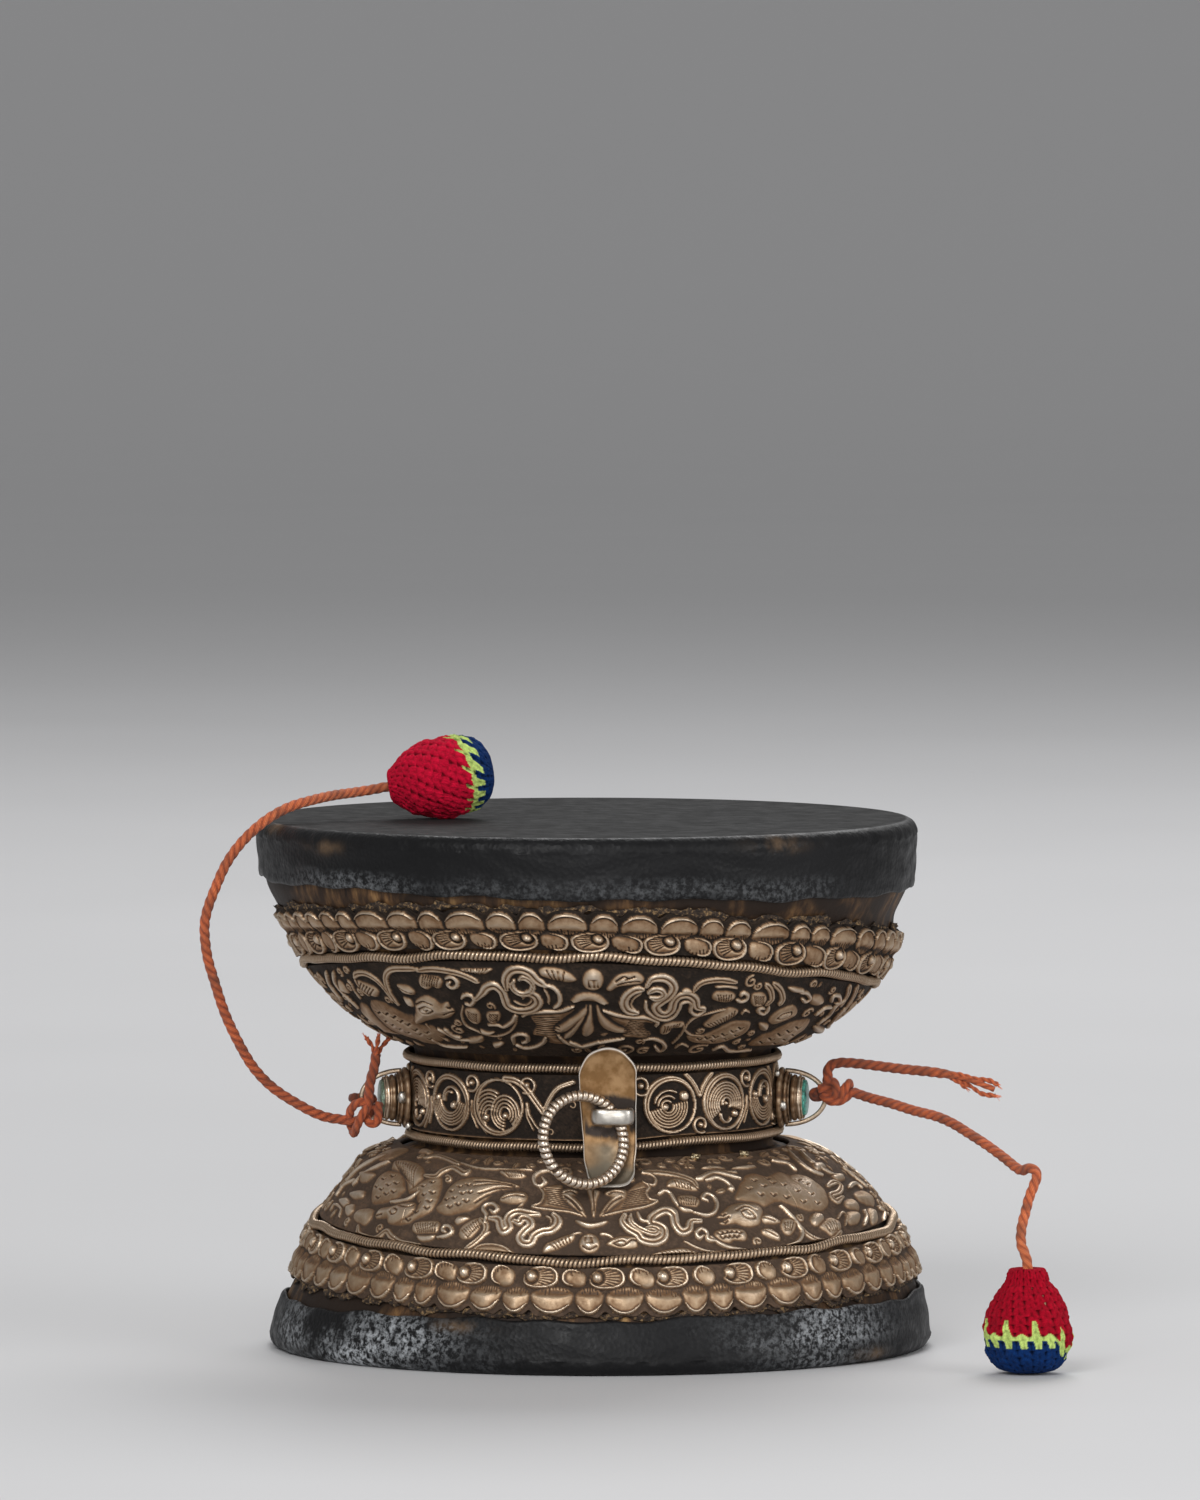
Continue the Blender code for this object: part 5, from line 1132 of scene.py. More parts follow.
def headSkin(bowl, prefix, finish, seed):
    # Stations go from the head's middle out to a rounded corner, down the side to the ragged lip and back inside
    angles = np.linspace(0.0, 2 * math.pi, bodyDetail["segments"], endpoint=False)
    inside, outside = drum["gap"], drum["gap"] + drum["skin"]
    faceOut, faceIn = bowl.rimZ + bowl.side * outside, bowl.rimZ + bowl.side * inside
    edge = level(drum[prefix + "SkinEdge"], angles) + ripple(angles, seed, [6, 11, 17, 29], bodyDetail["lip"])
    start = bowl.runAtHeight(edge, outside) + drum["skin"] / 2
    top = bowl.run[-1]
    flat = drum["rimRadius"] - bodyDetail["rimRound"]
    shares = np.linspace(0.03, 1.0, 24)[:, None]
    sag = 0.00006 * bowl.side * np.sin(math.pi * shares) * (1.0 + ripple(angles, seed + 1, [2, 3, 5], 0.4))[None, :]
    rows = [(flat * shares + 0.0 * angles, faceOut - sag)]
    sideRadius, sideHeight = bowl.at(np.array([top]), outside)
    turn = np.linspace(0.0, math.pi / 2, 8)[1:, None]
    pleat = 1.0 + ripple(angles, seed + 2, [31, 47, 71, 103], 0.035)[None, :]
    rows.append((flat + (sideRadius[0] - flat) * np.sin(turn) * pleat,
                 faceOut + (sideHeight[0] - faceOut) * (1.0 - np.cos(turn)) * (2.0 - pleat)))
    along = np.linspace(0.0, 1.0, 40)[1:, None]
    runs = top + (start[None, :] - top) * along
    near = (runs - start[None, :]) * 1000.0
    bulge = 0.00010 * np.exp(-((near - 0.5) / 0.9) ** 2) + 0.00006 * np.sin(near * 1.3 + 3.0 * ripple(
        angles, seed + 3, [2, 5, 9], 1.0)[None, :]) * smooth(0.0, 1.5, near) * smooth(0.0, 0.15, along)
    rows.append(bowl.at(runs, outside + bulge))
    half = drum["skin"] / 2
    bend = np.linspace(0.0, math.pi, 10)[1:-1, None]
    rows.append(bowl.at(start[None, :] - half * np.sin(bend), inside + half + half * np.cos(bend)))
    rows.append(bowl.at(start[None, :] + (top - start[None, :]) * np.linspace(0.0, 1.0, 6)[:, None], inside))
    rows.append((flat * np.linspace(1.0, 0.05, 4)[:, None] + 0.0 * angles, np.full((4, len(angles)), faceIn)))
    radius = np.vstack([np.broadcast_to(r, (len(r), len(angles))) for r, z in rows])
    height = np.vstack([np.broadcast_to(z, (len(r), len(angles))) for r, z in rows])
    sideways = (angles + math.pi) % (2 * math.pi) - math.pi
    share = np.clip((height - edge) / (faceOut - edge), 0.0, 1.0)
    front = np.zeros_like(height)
    for middle, wide, low, high, strong in skinDust[prefix]:
        front += strong * np.exp(-((sideways - middle) / wide) ** 2)[None, :] * smooth(low - 0.25, low, share) \
            * (1.0 - smooth(high, high + 0.25, share))
    worn = np.zeros_like(height)
    for middle, wide, at in skinWear[prefix]:
        worn += np.exp(-((sideways - middle) / wide) ** 2)[None, :] * np.exp(-((share - at) / 0.10) ** 2)
    onFace = (np.arange(len(radius)) < 24)[:, None]
    worn = np.where(onFace, 0.0, worn)
    # face marks the top face, which the hide finish paints lighter grey as a painted reflection, and makes rougher
    face = onFace * np.ones_like(radius)
    revolved(prefix + "_head_skin", radius, height, finish, stands=(prefix + "_skin",), slot="hide",
             fields={"dust": np.clip(front, 0.0, 1.0), "worn": np.clip(worn, 0.0, 1.0), "face": face})


# middle angle, spread, from and to (shares of the side's height), strength
skinDust = {"upper": [(-0.80, 0.40, 0.0, 0.15, 0.30), (0.35, 0.5, 0.0, 0.2, 0.2)],
            "lower": [(-0.92, 0.26, 0.0, 0.55, 2.8), (-0.90, 0.32, 0.3, 0.95, 1.4), (0.75, 0.26, 0.0, 0.45, 0.7),
                      (0.75, 0.22, 0.5, 1.0, 0.35)]}
# middle angle, spread, height share
skinWear = {"upper": [(-0.90, 0.07, 0.72), (-1.25, 0.06, 0.95), (0.62, 0.08, 0.85)],
            "lower": [(0.95, 0.07, 0.85), (-0.45, 0.08, 0.15)]}


def grimeRing(bowl, prefix, seed):
    # dirt and old glue along the joint of wood and petals: a ragged low bead
    columns = 900
    angles = np.linspace(0.0, 2 * math.pi, columns, endpoint=False)
    dice = np.random.default_rng(seed)
    fine = dice.normal(0.0, 1.0, (columns, 12))
    fine = fine + np.roll(fine, 1, 0) + np.roll(fine, -1, 0)
    run = edgeRuns(bowl, prefix, angles)[4] + 0.0002 + ripple(angles, seed, [9, 17, 31, 53], 0.0003)
    size = bodyDetail["grime"] * (1.0 + ripple(angles, seed + 1, [13, 29, 57, 91], 0.25))
    turn = np.linspace(0.0, 2 * math.pi, 12, endpoint=False)[None, :]
    reach = size[:, None] * (1.0 + 0.16 * fine)
    rings = bowl.spot(angles[:, None], run[:, None] + 2.0 * reach * np.cos(turn),
                      np.maximum(0.00012 + 0.9 * reach * (0.6 + np.sin(turn)), 0.00005))
    sweep(prefix + "_grime", rings, finishes["grime"], "drum", closed=True, slot="silver_relief")


turnedBowl(upperBowl, "upper", finishes["wood"])
turnedBowl(lowerBowl, "lower", finishes["wood"])
headSkin(upperBowl, "upper", finishes["hideUpper"], 41)
headSkin(lowerBowl, "lower", finishes["hideLower"], 47)
grimeRing(upperBowl, "upper", 51)
grimeRing(lowerBowl, "lower", 55)
print("wood, skins and grime made")


# ---- belt

nails = {"turns": (28.4, 44.9), "radius": 0.0400, "reach": 0.00115, "hole": 0.00030, "rise": 0.0004}


def jacketNails():
    # cross-shaped brass heads with a hole: the section between hole and rim carried round, its reach in four lobes
    run = float(lowerBowl.runAtRadius(nails["radius"]))
    for number, turn in enumerate(nails["turns"]):
        angle = np.array([math.radians(turn)])
        foot = lowerBowl.spot(angle, run, drum["gap"] + drum["sheet"])[0]
        out = unit(foot - lowerBowl.spot(angle, run, 0.0)[0])
        up = unit(lowerBowl.spot(angle, run + 0.001, 0.0)[0] - lowerBowl.spot(angle, run, 0.0)[0])
        across = np.cross(out, up)
        spin = np.linspace(0.0, 2 * math.pi, 40, endpoint=False)
        reach = nails["reach"] * (0.80 + 0.20 * np.cos(4 * spin))
        section = np.linspace(0.0, 2 * math.pi, 10, endpoint=False)
        middle = 0.5 * (reach + nails["hole"])[:, None]
        r = middle + (middle - nails["hole"]) * np.cos(section)[None, :]
        lift = nails["rise"] * (0.6 + np.sin(section)[None, :] + 0.5 * np.cos(section)[None, :])
        radial = np.cos(spin)[:, None] * across + np.sin(spin)[:, None] * up
        rings = foot + r[..., None] * radial[:, None, :] + lift[..., None] * out
        sweep("nail_%d" % (number + 1), rings, finishes["brass"], "drum", closed=True, slot="silver_fitting")


jacketNails()
belt = {
    "height": 0.0165, "wire": 0.0021, "sheet": 0.0012, "columns": 1136, "rows": 66, "baseOff": 0.00085,
    "lift": 0.0008,      # the upper wire's, and at the right the lower wire's too
    "roundels": 16, "firstTurn": 25.0, "pitch": 20.3,      # degrees; the gap left over lies behind the plate
    "centre": (0.0, -0.1), "ring": 5.15, "ringWidth": (0.5, 0.95),
    # a roundel's inside in millimetres: balls (x, y, radius), fluted fans (lines, x, y, first radius, step, from and to
    # in degrees, upward stretch) and hooks (x, y, from and to radius, from and to in degrees, width)
    "motifs": [
        {"balls": [(-1.3, -0.4, 0.75), (2.7, 1.6, 1.05)], "fans": [(6, -0.7, -0.3, 1.2, 0.56, 195, 372, 1.0)],
         "hooks": [(-1.1, -0.3, 0.9, 1.2, 230, 40, 0.5), (-0.9, -0.3, 1.9, 2.1, 175, 45, 0.5),
                   (-0.8, -0.3, 2.7, 3.2, 165, 55, 0.5)]},
        {"balls": [(2.5, -2.4, 0.75), (0.0, -0.3, 0.45)], "fans": [(5, 0.0, -0.5, 1.9, 0.58, 215, -15, 1.0)],
         "hooks": [(0.0, -0.3, 0.9, 1.3, 200, -40, 0.42), (0.2, -2.6, 1.6, 1.2, 170, 330, 0.55)]},
        {"balls": [(1.3, -0.4, 0.85), (-3.3, 0.9, 0.7)], "fans": [(5, 0.2, 0.9, 2.9, 0.55, 190, 345, 1.0)],
         "hooks": [(0.9, 0.9, 2.6, 1.5, 190, -75, 0.6), (0.3, 0.9, 1.5, 1.2, 200, 60, 0.42)]},
        {"balls": [(-2.7, -2.3, 0.75), (1.6, -1.8, 0.7)],
         "fans": [(6, -1.9, -2.0, 1.1, 0.58, 235, 62, 1.25), (4, 1.5, -1.5, 1.15, 0.6, 262, -50, 1.2)], "hooks": []},
    ],
}


class Barrel:
    # The straight waist under the belt, used as a Bowl is: run is the height over the band's lower edge
    def __init__(self):
        self.half = belt["height"] / 2 - belt["wire"] - drum["gap"]
        self.low = drum["waistHeight"] - self.half
        self.side = 1

    def at(self, run, off):
        return drum["neckRadius"] + off + 0.0 * run, self.low + run + 0.0 * off

    def spot(self, angle, run, off):
        radius, height = self.at(run, off)
        return onDrum(radius, angle, height)


def liftedAt(angle):
    return belt["lift"] * smooth(0.1, 0.5, np.sin(angle))


def beltRelief():
    # roundels of banded rings with scrolls in them, and small curls in the corners between
    barrel = Barrel()
    angles = np.linspace(0.0, 2 * math.pi, belt["columns"], endpoint=False)
    share = np.linspace(0.0, 1.0, belt["rows"])[:, None]
    foot = liftedAt(angles)[None, :]
    relief = Relief(barrel, angles, foot + (2 * barrel.half + belt["lift"] - foot) * share)
    around = (drum["neckRadius"] + drum["sheet"]) * 1000.0
    dice = np.random.default_rng(71)

    def arc(x, y, first, last, start, stop, stretch=1.0):
        # points of a spiral in millimetres whose radius runs from first to last, angles in degrees
        a = np.radians(np.linspace(start, stop, 8 + int(abs(stop - start) / 12)))
        r = np.linspace(first, last, len(a))
        return np.column_stack([x + r * np.cos(a), y + r * np.sin(a) * np.where(np.sin(a) > 0, stretch, 1.0)])

    def within(points):
        # pulled back to the roundel's banded ring
        away = points - belt["centre"]
        far = np.linalg.norm(away, axis=1, keepdims=True)
        return belt["centre"] + away * np.minimum(1.0, (belt["ring"] - 0.5) / np.maximum(far, 0.01))

    def placed(points, turn, mirror=1.0):
        rise = barrel.half + 0.5 * (belt["lift"] + liftedAt(turn))
        return np.column_stack([turn + mirror * points[:, 0] / around, rise + points[:, 1] / 1000.0])

    def curl(turn, x, y, size, hand):
        # a ball in a hook whose tail runs along the edge
        relief.raiseLine(placed(arc(x, y, size * 0.85, size * 1.25, -30, 300), turn, hand), 0.62, 0.72)
        relief.raiseArea(placed(arc(x, y, size * 0.42, size * 0.42, 0, 330), turn, hand), 0.95, 0.5)

    for k in range(belt["roundels"]):
        turn = math.radians(belt["firstTurn"] + k * belt["pitch"] + dice.uniform(-0.3, 0.3))
        mirror = -1.0 if k in (5, 6, 8, 11) else 1.0
        motif = belt["motifs"][k % 4]
        for count, x, y, first, step, start, stop, stretch in motif["fans"]:
            for line in range(count):
                path = within(arc(x, y, first + line * step, first + line * step, start, stop, stretch))
                relief.raiseLine(placed(path, turn, mirror), 0.54, 0.70)
        for x, y, first, last, start, stop, width in motif["hooks"]:
            relief.raiseLine(placed(within(arc(x, y, first, last, start, stop)), turn, mirror), width, 0.80)
        for x, y, size in motif["balls"]:
            relief.raiseArea(placed(arc(x, y, size, size, 0, 330), turn, mirror), 1.0, 0.65)
        ring = arc(*belt["centre"], belt["ring"], belt["ring"], 0, 360)
        thick = 0.5 + 0.5 * np.cos(np.linspace(0.0, 2 * math.pi, len(ring)) - math.radians((140, 140, 60, 215)[k % 4]))
        relief.raiseLine(placed(ring, turn), belt["ringWidth"][0] + belt["ringWidth"][1] * thick ** 1.5, 0.72, "band")
        joint = turn + math.radians(belt["pitch"] / 2)
        hand = 1.0 if k % 4 < 2 else -1.0
        if k % 2 or k == 14:
            curl(joint, 0.0, 4.2, 1.35, hand)
            for shape in ([(0.2, 0.6), (-0.2, -1.4), (-1.4, -3.4), (-3.2, -5.4)], [(0.3, -0.4), (0.2, -2.0), (-1.0, -4.4)]):
                relief.raiseLine(placed(np.array(shape), joint, hand), np.linspace(0.9, 0.35, len(shape)), 0.6)
        else:
            curl(joint, 0.0, -4.1, 1.3, hand)
            for side in (-1.0, 1.0):
                relief.raiseLine(placed(np.array([(3.0, 5.6), (1.9, 4.6), (0.9, 3.2), (0.1, 1.6)]), joint, side), 0.95,
                                 0.65, "band")
    for shape, width in (([(-7.8, 5.3), (-5.6, 5.0), (-3.6, 3.7), (-1.7, 1.3), (-0.1, -0.9)], 1.45),
                         ([(0.1, -0.7), (1.3, 1.8), (3.0, 3.8), (5.8, 4.9)], 1.0)):
        relief.raiseLine(placed(throughPoints(shape, 5), math.radians(-15.4)), width, 0.75, "band")
    curl(math.radians(15.0), 0.0, 4.0, 1.5, 1.0)
    relief.height = np.maximum(relief.height, 0.00035 * (1.0 - smooth(0.0, 0.0004, relief.run - foot)))
    sheetPieces("belt_relief", relief, finishes["beltSilver"], belt["baseOff"], None, ("belt_band",), "silver_relief", 73)


def beltWires():
    angles = np.linspace(0.0, 2 * math.pi, 1962, endpoint=False)
    for name, side, seed in (("belt_upper", 1, 3), ("belt_lower", -1, 4)):
        z = drum["waistHeight"] + side * (belt["height"] - belt["wire"]) / 2
        radius = drum["neckRadius"] + drum["gap"] + belt["wire"] / 2
        rise = belt["lift"] if side > 0 else liftedAt(angles)
        path = onDrum(radius + 0.0 * angles, angles, z + rise + ripple(angles, seed, [3, 7, 12], 0.00008))
        out = onDrum(np.ones_like(angles), angles, 0.0 * angles)
        milledWire(name + "_milled", path, 0.42 * belt["wire"], out, 327, 0.25, finishes["wire"], (name + "_wire",),
                   "silver_wire")


beltRelief()
beltWires()
print("belt made")


# ---- bezels with their stones and bails

bezels = {
    "turn": math.radians(82), "face": 0.0359, "gap": 0.0003,
    # radius and height pairs in millimetres from the collar's back
    "collar": [(0.0, 0.0), (5.55, 0.0), (5.80, 0.18), (5.88, 0.45), (5.72, 0.78), (5.35, 0.95), (4.86, 1.05), (4.72, 1.16),
               (4.86, 1.28), (5.16, 1.38), (5.24, 1.58), (5.10, 1.78), (4.62, 1.88), (4.40, 1.98), (4.50, 2.08),
               (4.66, 2.18), (4.62, 2.28), (4.2, 2.30), (0.0, 2.30)],
    "cup": [(0.0, 0.0), (4.20, 0.0), (4.42, 0.14), (4.50, 0.40), (4.36, 0.72), (4.06, 0.84), (4.00, 0.98), (4.16, 1.12),
            (4.34, 1.36), (4.28, 1.64), (4.06, 1.76), (4.02, 1.92), (4.10, 2.06), (3.98, 2.22), (3.82, 2.20),
            (3.75, 2.0), (3.75, 0.60), (0.0, 0.60)],
    "stone": [(0.0, 0.9), (3.40, 0.9), (3.45, 1.2), (3.45, 2.40), (3.36, 2.62), (3.05, 2.78), (2.4, 2.90), (1.4, 2.96),
              (0.0, 2.98)],
    "bail": {"reach": 0.0077, "half": 0.0052, "thick": 0.0009, "width": 0.0013},
    "granules": {-1: [(0.0378, 0.0051, 0.0004, 0.00105), (0.0366, 0.0050, -0.0052, 0.0007)],
                 1: [(0.0374, 0.0050, -0.0012, 0.00090), (0.0364, 0.0052, 0.0050, 0.0006)]},
}


def bezelAxes(side):
    out = np.array((side * math.sin(bezels["turn"]), -math.cos(bezels["turn"]), 0.0))
    front = np.array((-side * math.cos(bezels["turn"]), -math.sin(bezels["turn"]), 0.0))
    foot = np.array((drum["lean"] * drum["waistHeight"], 0.0, drum["waistHeight"]))
    return foot, out, front


def turnedOnBezel(name, side, profile, back, finish, stands, slot, uneven=0.0, seed=0):
    # profile turned round the bezel's own axis, with a little unevenness round it
    foot, out, front = bezelAxes(side)
    up = np.array((0.0, 0.0, 1.0))
    turn = np.linspace(0.0, 2 * math.pi, 96, endpoint=False)
    rows = evenPoints(np.array(profile[1:-1]) / 1000.0, 44)
    radius = rows[:, :1] * (1.0 + ripple(turn, seed, [3, 5, 9, 17], uneven)[None, :])
    height = (back + rows[:, 1:]) * np.ones_like(radius)
    polish = np.clip(0.34 + 0.55 * smooth(-0.0001, 0.0005, rows[:, :1] - np.interp(
        rows[:, 1:], rows[::4, 1], rows[::4, 0])) + 0.12 * ripple(turn, seed + 1, [7, 13, 21], 1.0)[None, :], 0.0, 1.0)
    rings = foot + height[..., None] * out + radius[..., None] * (np.cos(turn)[None, :, None] * front
                                                                  + np.sin(turn)[None, :, None] * up)
    return sweep(name, rings, finish, "drum", fields={"polish": polish}, stands=stands, slot=slot, sharp=50)


def makeBezel(side):
    key = "left" if side < 0 else "right"
    foot, out, front = bezelAxes(side)
    up = np.array((0.0, 0.0, 1.0))
    back = bezels["face"] + bezels["gap"]
    turnedOnBezel(key + "_collar", side, bezels["collar"], back, finishes["silver"], (key + "_bezel_collar",),
                  "silver_fitting", 0.006, 5)
    cupBack = back + 0.0023 + bezels["gap"]
    turnedOnBezel(key + "_cup", side, bezels["cup"], cupBack, finishes["silver"], (key + "_bezel_cup",),
                  "silver_fitting", 0.006, 9)
    turnedOnBezel(key + "_turquoise", side, bezels["stone"], cupBack, finishes["stone" + key.capitalize()],
                  (key + "_stone",), "turquoise_" + key, 0.008, 13)
    bail = bezels["bail"]
    start = back + 0.0009 + bezels["gap"]
    turn = np.linspace(0.0, math.pi, 60)[:, None]
    path = foot + out * (start + bail["reach"] * np.sin(turn)) - up * bail["half"] * np.cos(turn)
    along = unit(out * bail["reach"] * np.cos(turn) + up * bail["half"] * np.sin(turn))
    across = np.cross(out, up)
    thick = np.cross(along, across)
    spin = np.linspace(0.0, 2 * math.pi, 16, endpoint=False)
    wide = np.sign(np.cos(spin)) * np.abs(np.cos(spin)) ** 0.6 * bail["width"] / 2
    deep = np.sign(np.sin(spin)) * np.abs(np.sin(spin)) ** 0.6 * bail["thick"] / 2
    rings = path[:, None, :] + wide[None, :, None] * across + deep[None, :, None] * thick[:, None, :]
    wear = 0.35 + 0.4 * np.abs(np.cos(spin))[None, :] + 0.0 * turn
    sweep(key + "_strap", rings, finishes["silver"], "drum", fields={"polish": wear}, stands=(key + "_bail",),
          slot="silver_fitting")
    for number, (reach, ahead, rise, size) in enumerate(bezels["granules"][side]):
        lat = np.linspace(0.0, math.pi, 14)[1:-1, None]
        lon = np.linspace(0.0, 2 * math.pi, 24, endpoint=False)[None, :]
        middle = foot + out * reach + front * ahead + up * rise
        ball = middle + size * (np.sin(lat) * np.cos(lon))[..., None] * out * 0.9 \
            + size * (np.sin(lat) * np.sin(lon))[..., None] * up * 1.15 \
            + size * (np.cos(lat) + 0.0 * lon)[..., None] * front * 0.75
        sweep("%s_granule_%d" % (key, number + 1), ball, finishes["bright"], "drum", slot="silver_fitting")


makeBezel(-1)
makeBezel(1)
print("bezels made")


# ---- clasp

clasp = {
    "centreX": 0.0015, "halfWidth": 0.00545, "topReach": 0.0128, "bottomReach": 0.0136, "thick": 0.0009,
    "topLift": 0.0015, "bottomLift": 0.0049, "edgeLift": 0.0005, "curl": 2.4, "middle": -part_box("clasp_plate")[1][1],
    "stapleX": 0.0024, "stapleDrop": 0.0003, "stapleHalf": 0.0040, "strap": 0.0010, "stapleWidth": 0.0031,
    "holeX": 0.0030, "ringHalf": (0.0082, 0.0085), "tilt": math.radians(26), "holeTurn": math.radians(33),
    "core": 0.00034, "gap": 0.0003, "wrapWire": 0.00022, "turns": 46, "open": math.radians(1.5),
}


def plateDepth(z):
    # the ends turn outwards with a power of the height from the middle
    rise = (z - drum["waistHeight"])
    top = clasp["topLift"] * np.clip(rise / clasp["topReach"], 0.0, 1.2) ** clasp["curl"]
    bottom = clasp["bottomLift"] * np.clip(-rise / clasp["bottomReach"], 0.0, 1.2) ** clasp["curl"]
    return clasp["middle"] + top + bottom


def claspPlate():
    # rings grow from the middle to the outline, turn over the edge and come back. The outline is straight sides under
    # a half circle at the top, and a squarish superellipse below
    spin = np.linspace(0.0, 2 * math.pi, 288, endpoint=False)
    c, s = np.cos(spin), np.sin(spin)
    half, stretch = clasp["halfWidth"], 5.0
    arch = np.clip((spin - 0.6) / (math.pi - 1.2), 0.0, 1.0) * math.pi
    rise = np.clip(np.minimum(spin, math.pi - spin) / 0.6, 0.0, 1.0)
    x = np.where(s > 0, np.cos(arch), np.sign(c) * np.abs(c) ** (2 / stretch)) * half
    z = np.where(s > 0, (clasp["topReach"] - half) * rise + half * np.sin(arch),
                 -np.abs(s) ** (2 / stretch) * clasp["bottomReach"])
    x = x * (1.0 - 0.20 * smooth(0.004, -0.013, z) * (x < 0)) + 0.00010 * ripple(spin, 9, [5, 8, 13], 0.6)
    grow = np.concatenate([np.linspace(0.04, 0.86, 16), np.linspace(0.88, 0.985, 12)])
    bend = np.linspace(-math.pi / 2, math.pi / 2, 9)
    shareAll = np.concatenate([grow, 0.985 + 0.015 * np.cos(bend), grow[::-1]])[:, None]
    side = np.concatenate([np.ones(len(grow)), -np.sin(bend), -np.ones(len(grow))])[:, None]
    px, pz = shareAll * x, shareAll * z
    height = drum["waistHeight"] + pz
    across = px / clasp["halfWidth"]
    # the pale band round the edge, which the plate finish paints as a highlight
    rim = 0.8 * smooth(0.955, 0.985, shareAll) * (side > -0.9)
    lip = 0.00012 * smooth(0.92, 0.96, shareAll) * (side > 0)
    y = -(plateDepth(height) + clasp["edgeLift"] * across ** 2 + clasp["thick"] / 2 * (1 + side) + lip)
    rings = np.stack([clasp["centreX"] + px, y, height + 0.0 * px], axis=-1)
    mx, mz = px * 1000.0, pz * 1000.0
    # dark patches above, under and right of the staple: solder and tarnish, with a painted shadow of the staple in the
    # patch under it
    wobble = 0.40 * np.cos(mx * 0.55 - 0.6) + 0.10 * np.sin(mx * 1.9)
    upper = smooth(0.5, 0.9, mz) * (1.0 - smooth(2.8 + wobble - 0.06 * mx, 3.8 + wobble - 0.06 * mx, mz)) \
        * smooth(-4.8, -2.0, mx)
    lower = smooth(-4.9 - wobble, -4.1 - wobble, mz) * (1.0 - smooth(-2.4, -2.0, mz)) * smooth(-4.6, -4.2, mx) \
        * (1.0 - smooth(1.6, 2.4, mx))
    corner = smooth(-3.6, -3.2, mz) * (1.0 - smooth(0.0, 0.6, mz)) * smooth(3.9, 4.3, mx)
    solderAndShade = np.clip(upper + lower + corner, 0.0, 1.0) * (side > 0)
    # the lower end painted paler grey, most along the middle: a painted reflection of the floor on the upward-facing
    # end
    paintedReflection = np.clip(smooth(-4.6, -6.5, mz) * (0.30 + 0.60 * np.exp(-((mx + 0.3) / 2.4) ** 2))
                   + smooth(-8.8, -12.0, mz), 0.0, 1.0)
    sweep("plate_face", rings, finishes["plate"], "drum",
          fields={"rim": rim + 0.0 * px, "solderAndShade": solderAndShade, "paintedReflection": paintedReflection}, stands=("clasp_plate",),
          slot="silver_fitting")


def ringFrame():
    spread = unit(np.array((-clasp["ringHalf"][0] * math.sin(clasp["holeTurn"]),
                            clasp["ringHalf"][1] * math.cos(clasp["holeTurn"]))))
    along = np.array((spread[0], 0.0, spread[1]))
    inward = np.array((-spread[1] * math.cos(clasp["tilt"]), -math.sin(clasp["tilt"]),
                       spread[0] * math.cos(clasp["tilt"])))
    stapleZ = drum["waistHeight"] - clasp["stapleDrop"]
    wire = clasp["core"] + clasp["gap"] + 2 * clasp["wrapWire"]
    front = float(plateDepth(stapleZ)) + clasp["thick"]
    hole = np.array((clasp["holeX"], -(front + clasp["edgeLift"] + wire + 2 * clasp["gap"]), stapleZ))
    return hole, along, inward, wire


def ringPoint(turn):
    # an ellipse turned outwards about its tangent at the hole
    hole, along, inward, wire = ringFrame()
    x = clasp["ringHalf"][0] * (np.cos(turn) - math.cos(clasp["holeTurn"]))[:, None]
    z = clasp["ringHalf"][1] * (np.sin(turn) - math.sin(clasp["holeTurn"]))[:, None]
    return hole + (x * along[0] + z * along[2]) * along + (z * along[0] - x * along[2]) * inward


def claspStaple():
    # a plump half-round strap carried along a superellipse arch
    hole, along, inward, wire = ringFrame()
    stapleZ = drum["waistHeight"] - clasp["stapleDrop"]
    foot = float(plateDepth(stapleZ)) + clasp["thick"] + clasp["edgeLift"] + clasp["gap"] - 0.0002
    crown = -hole[1] + wire + clasp["gap"] + clasp["strap"]
    turn = np.linspace(0.0, math.pi, 49)
    side = -np.sign(np.cos(turn)) * np.abs(np.cos(turn)) ** 0.42
    path = np.column_stack([clasp["stapleX"] + (clasp["stapleHalf"] - clasp["strap"] / 2) * side,
                            -(foot + (crown - foot - clasp["strap"] / 2) * np.sin(turn) ** 0.42), 0 * turn])
    slope = unit(np.gradient(path, axis=0))
    spin = np.linspace(0.0, 2 * math.pi, 28, endpoint=False)
    wide = np.sign(np.cos(spin)) * np.abs(np.cos(spin)) ** 0.75 * clasp["stapleWidth"] / 2
    deep = np.where(np.sin(spin) > 0, np.abs(np.sin(spin)) ** 0.8 * 0.00062, -np.abs(np.sin(spin)) ** 0.5 * 0.0005)
    narrow = (1.0 - 0.10 * smooth(0.6, 0.0, turn))[:, None]
    out = np.column_stack([slope[:, 1], -slope[:, 0], 0 * turn])
    rings = path[:, None, :] + deep[None, :, None] * out[:, None, :]
    rings[..., 2] += stapleZ + wide[None, :] * narrow
    sweep("staple_strap", rings, finishes["bright"], "drum", stands=("clasp_staple",), slot="silver_fitting")


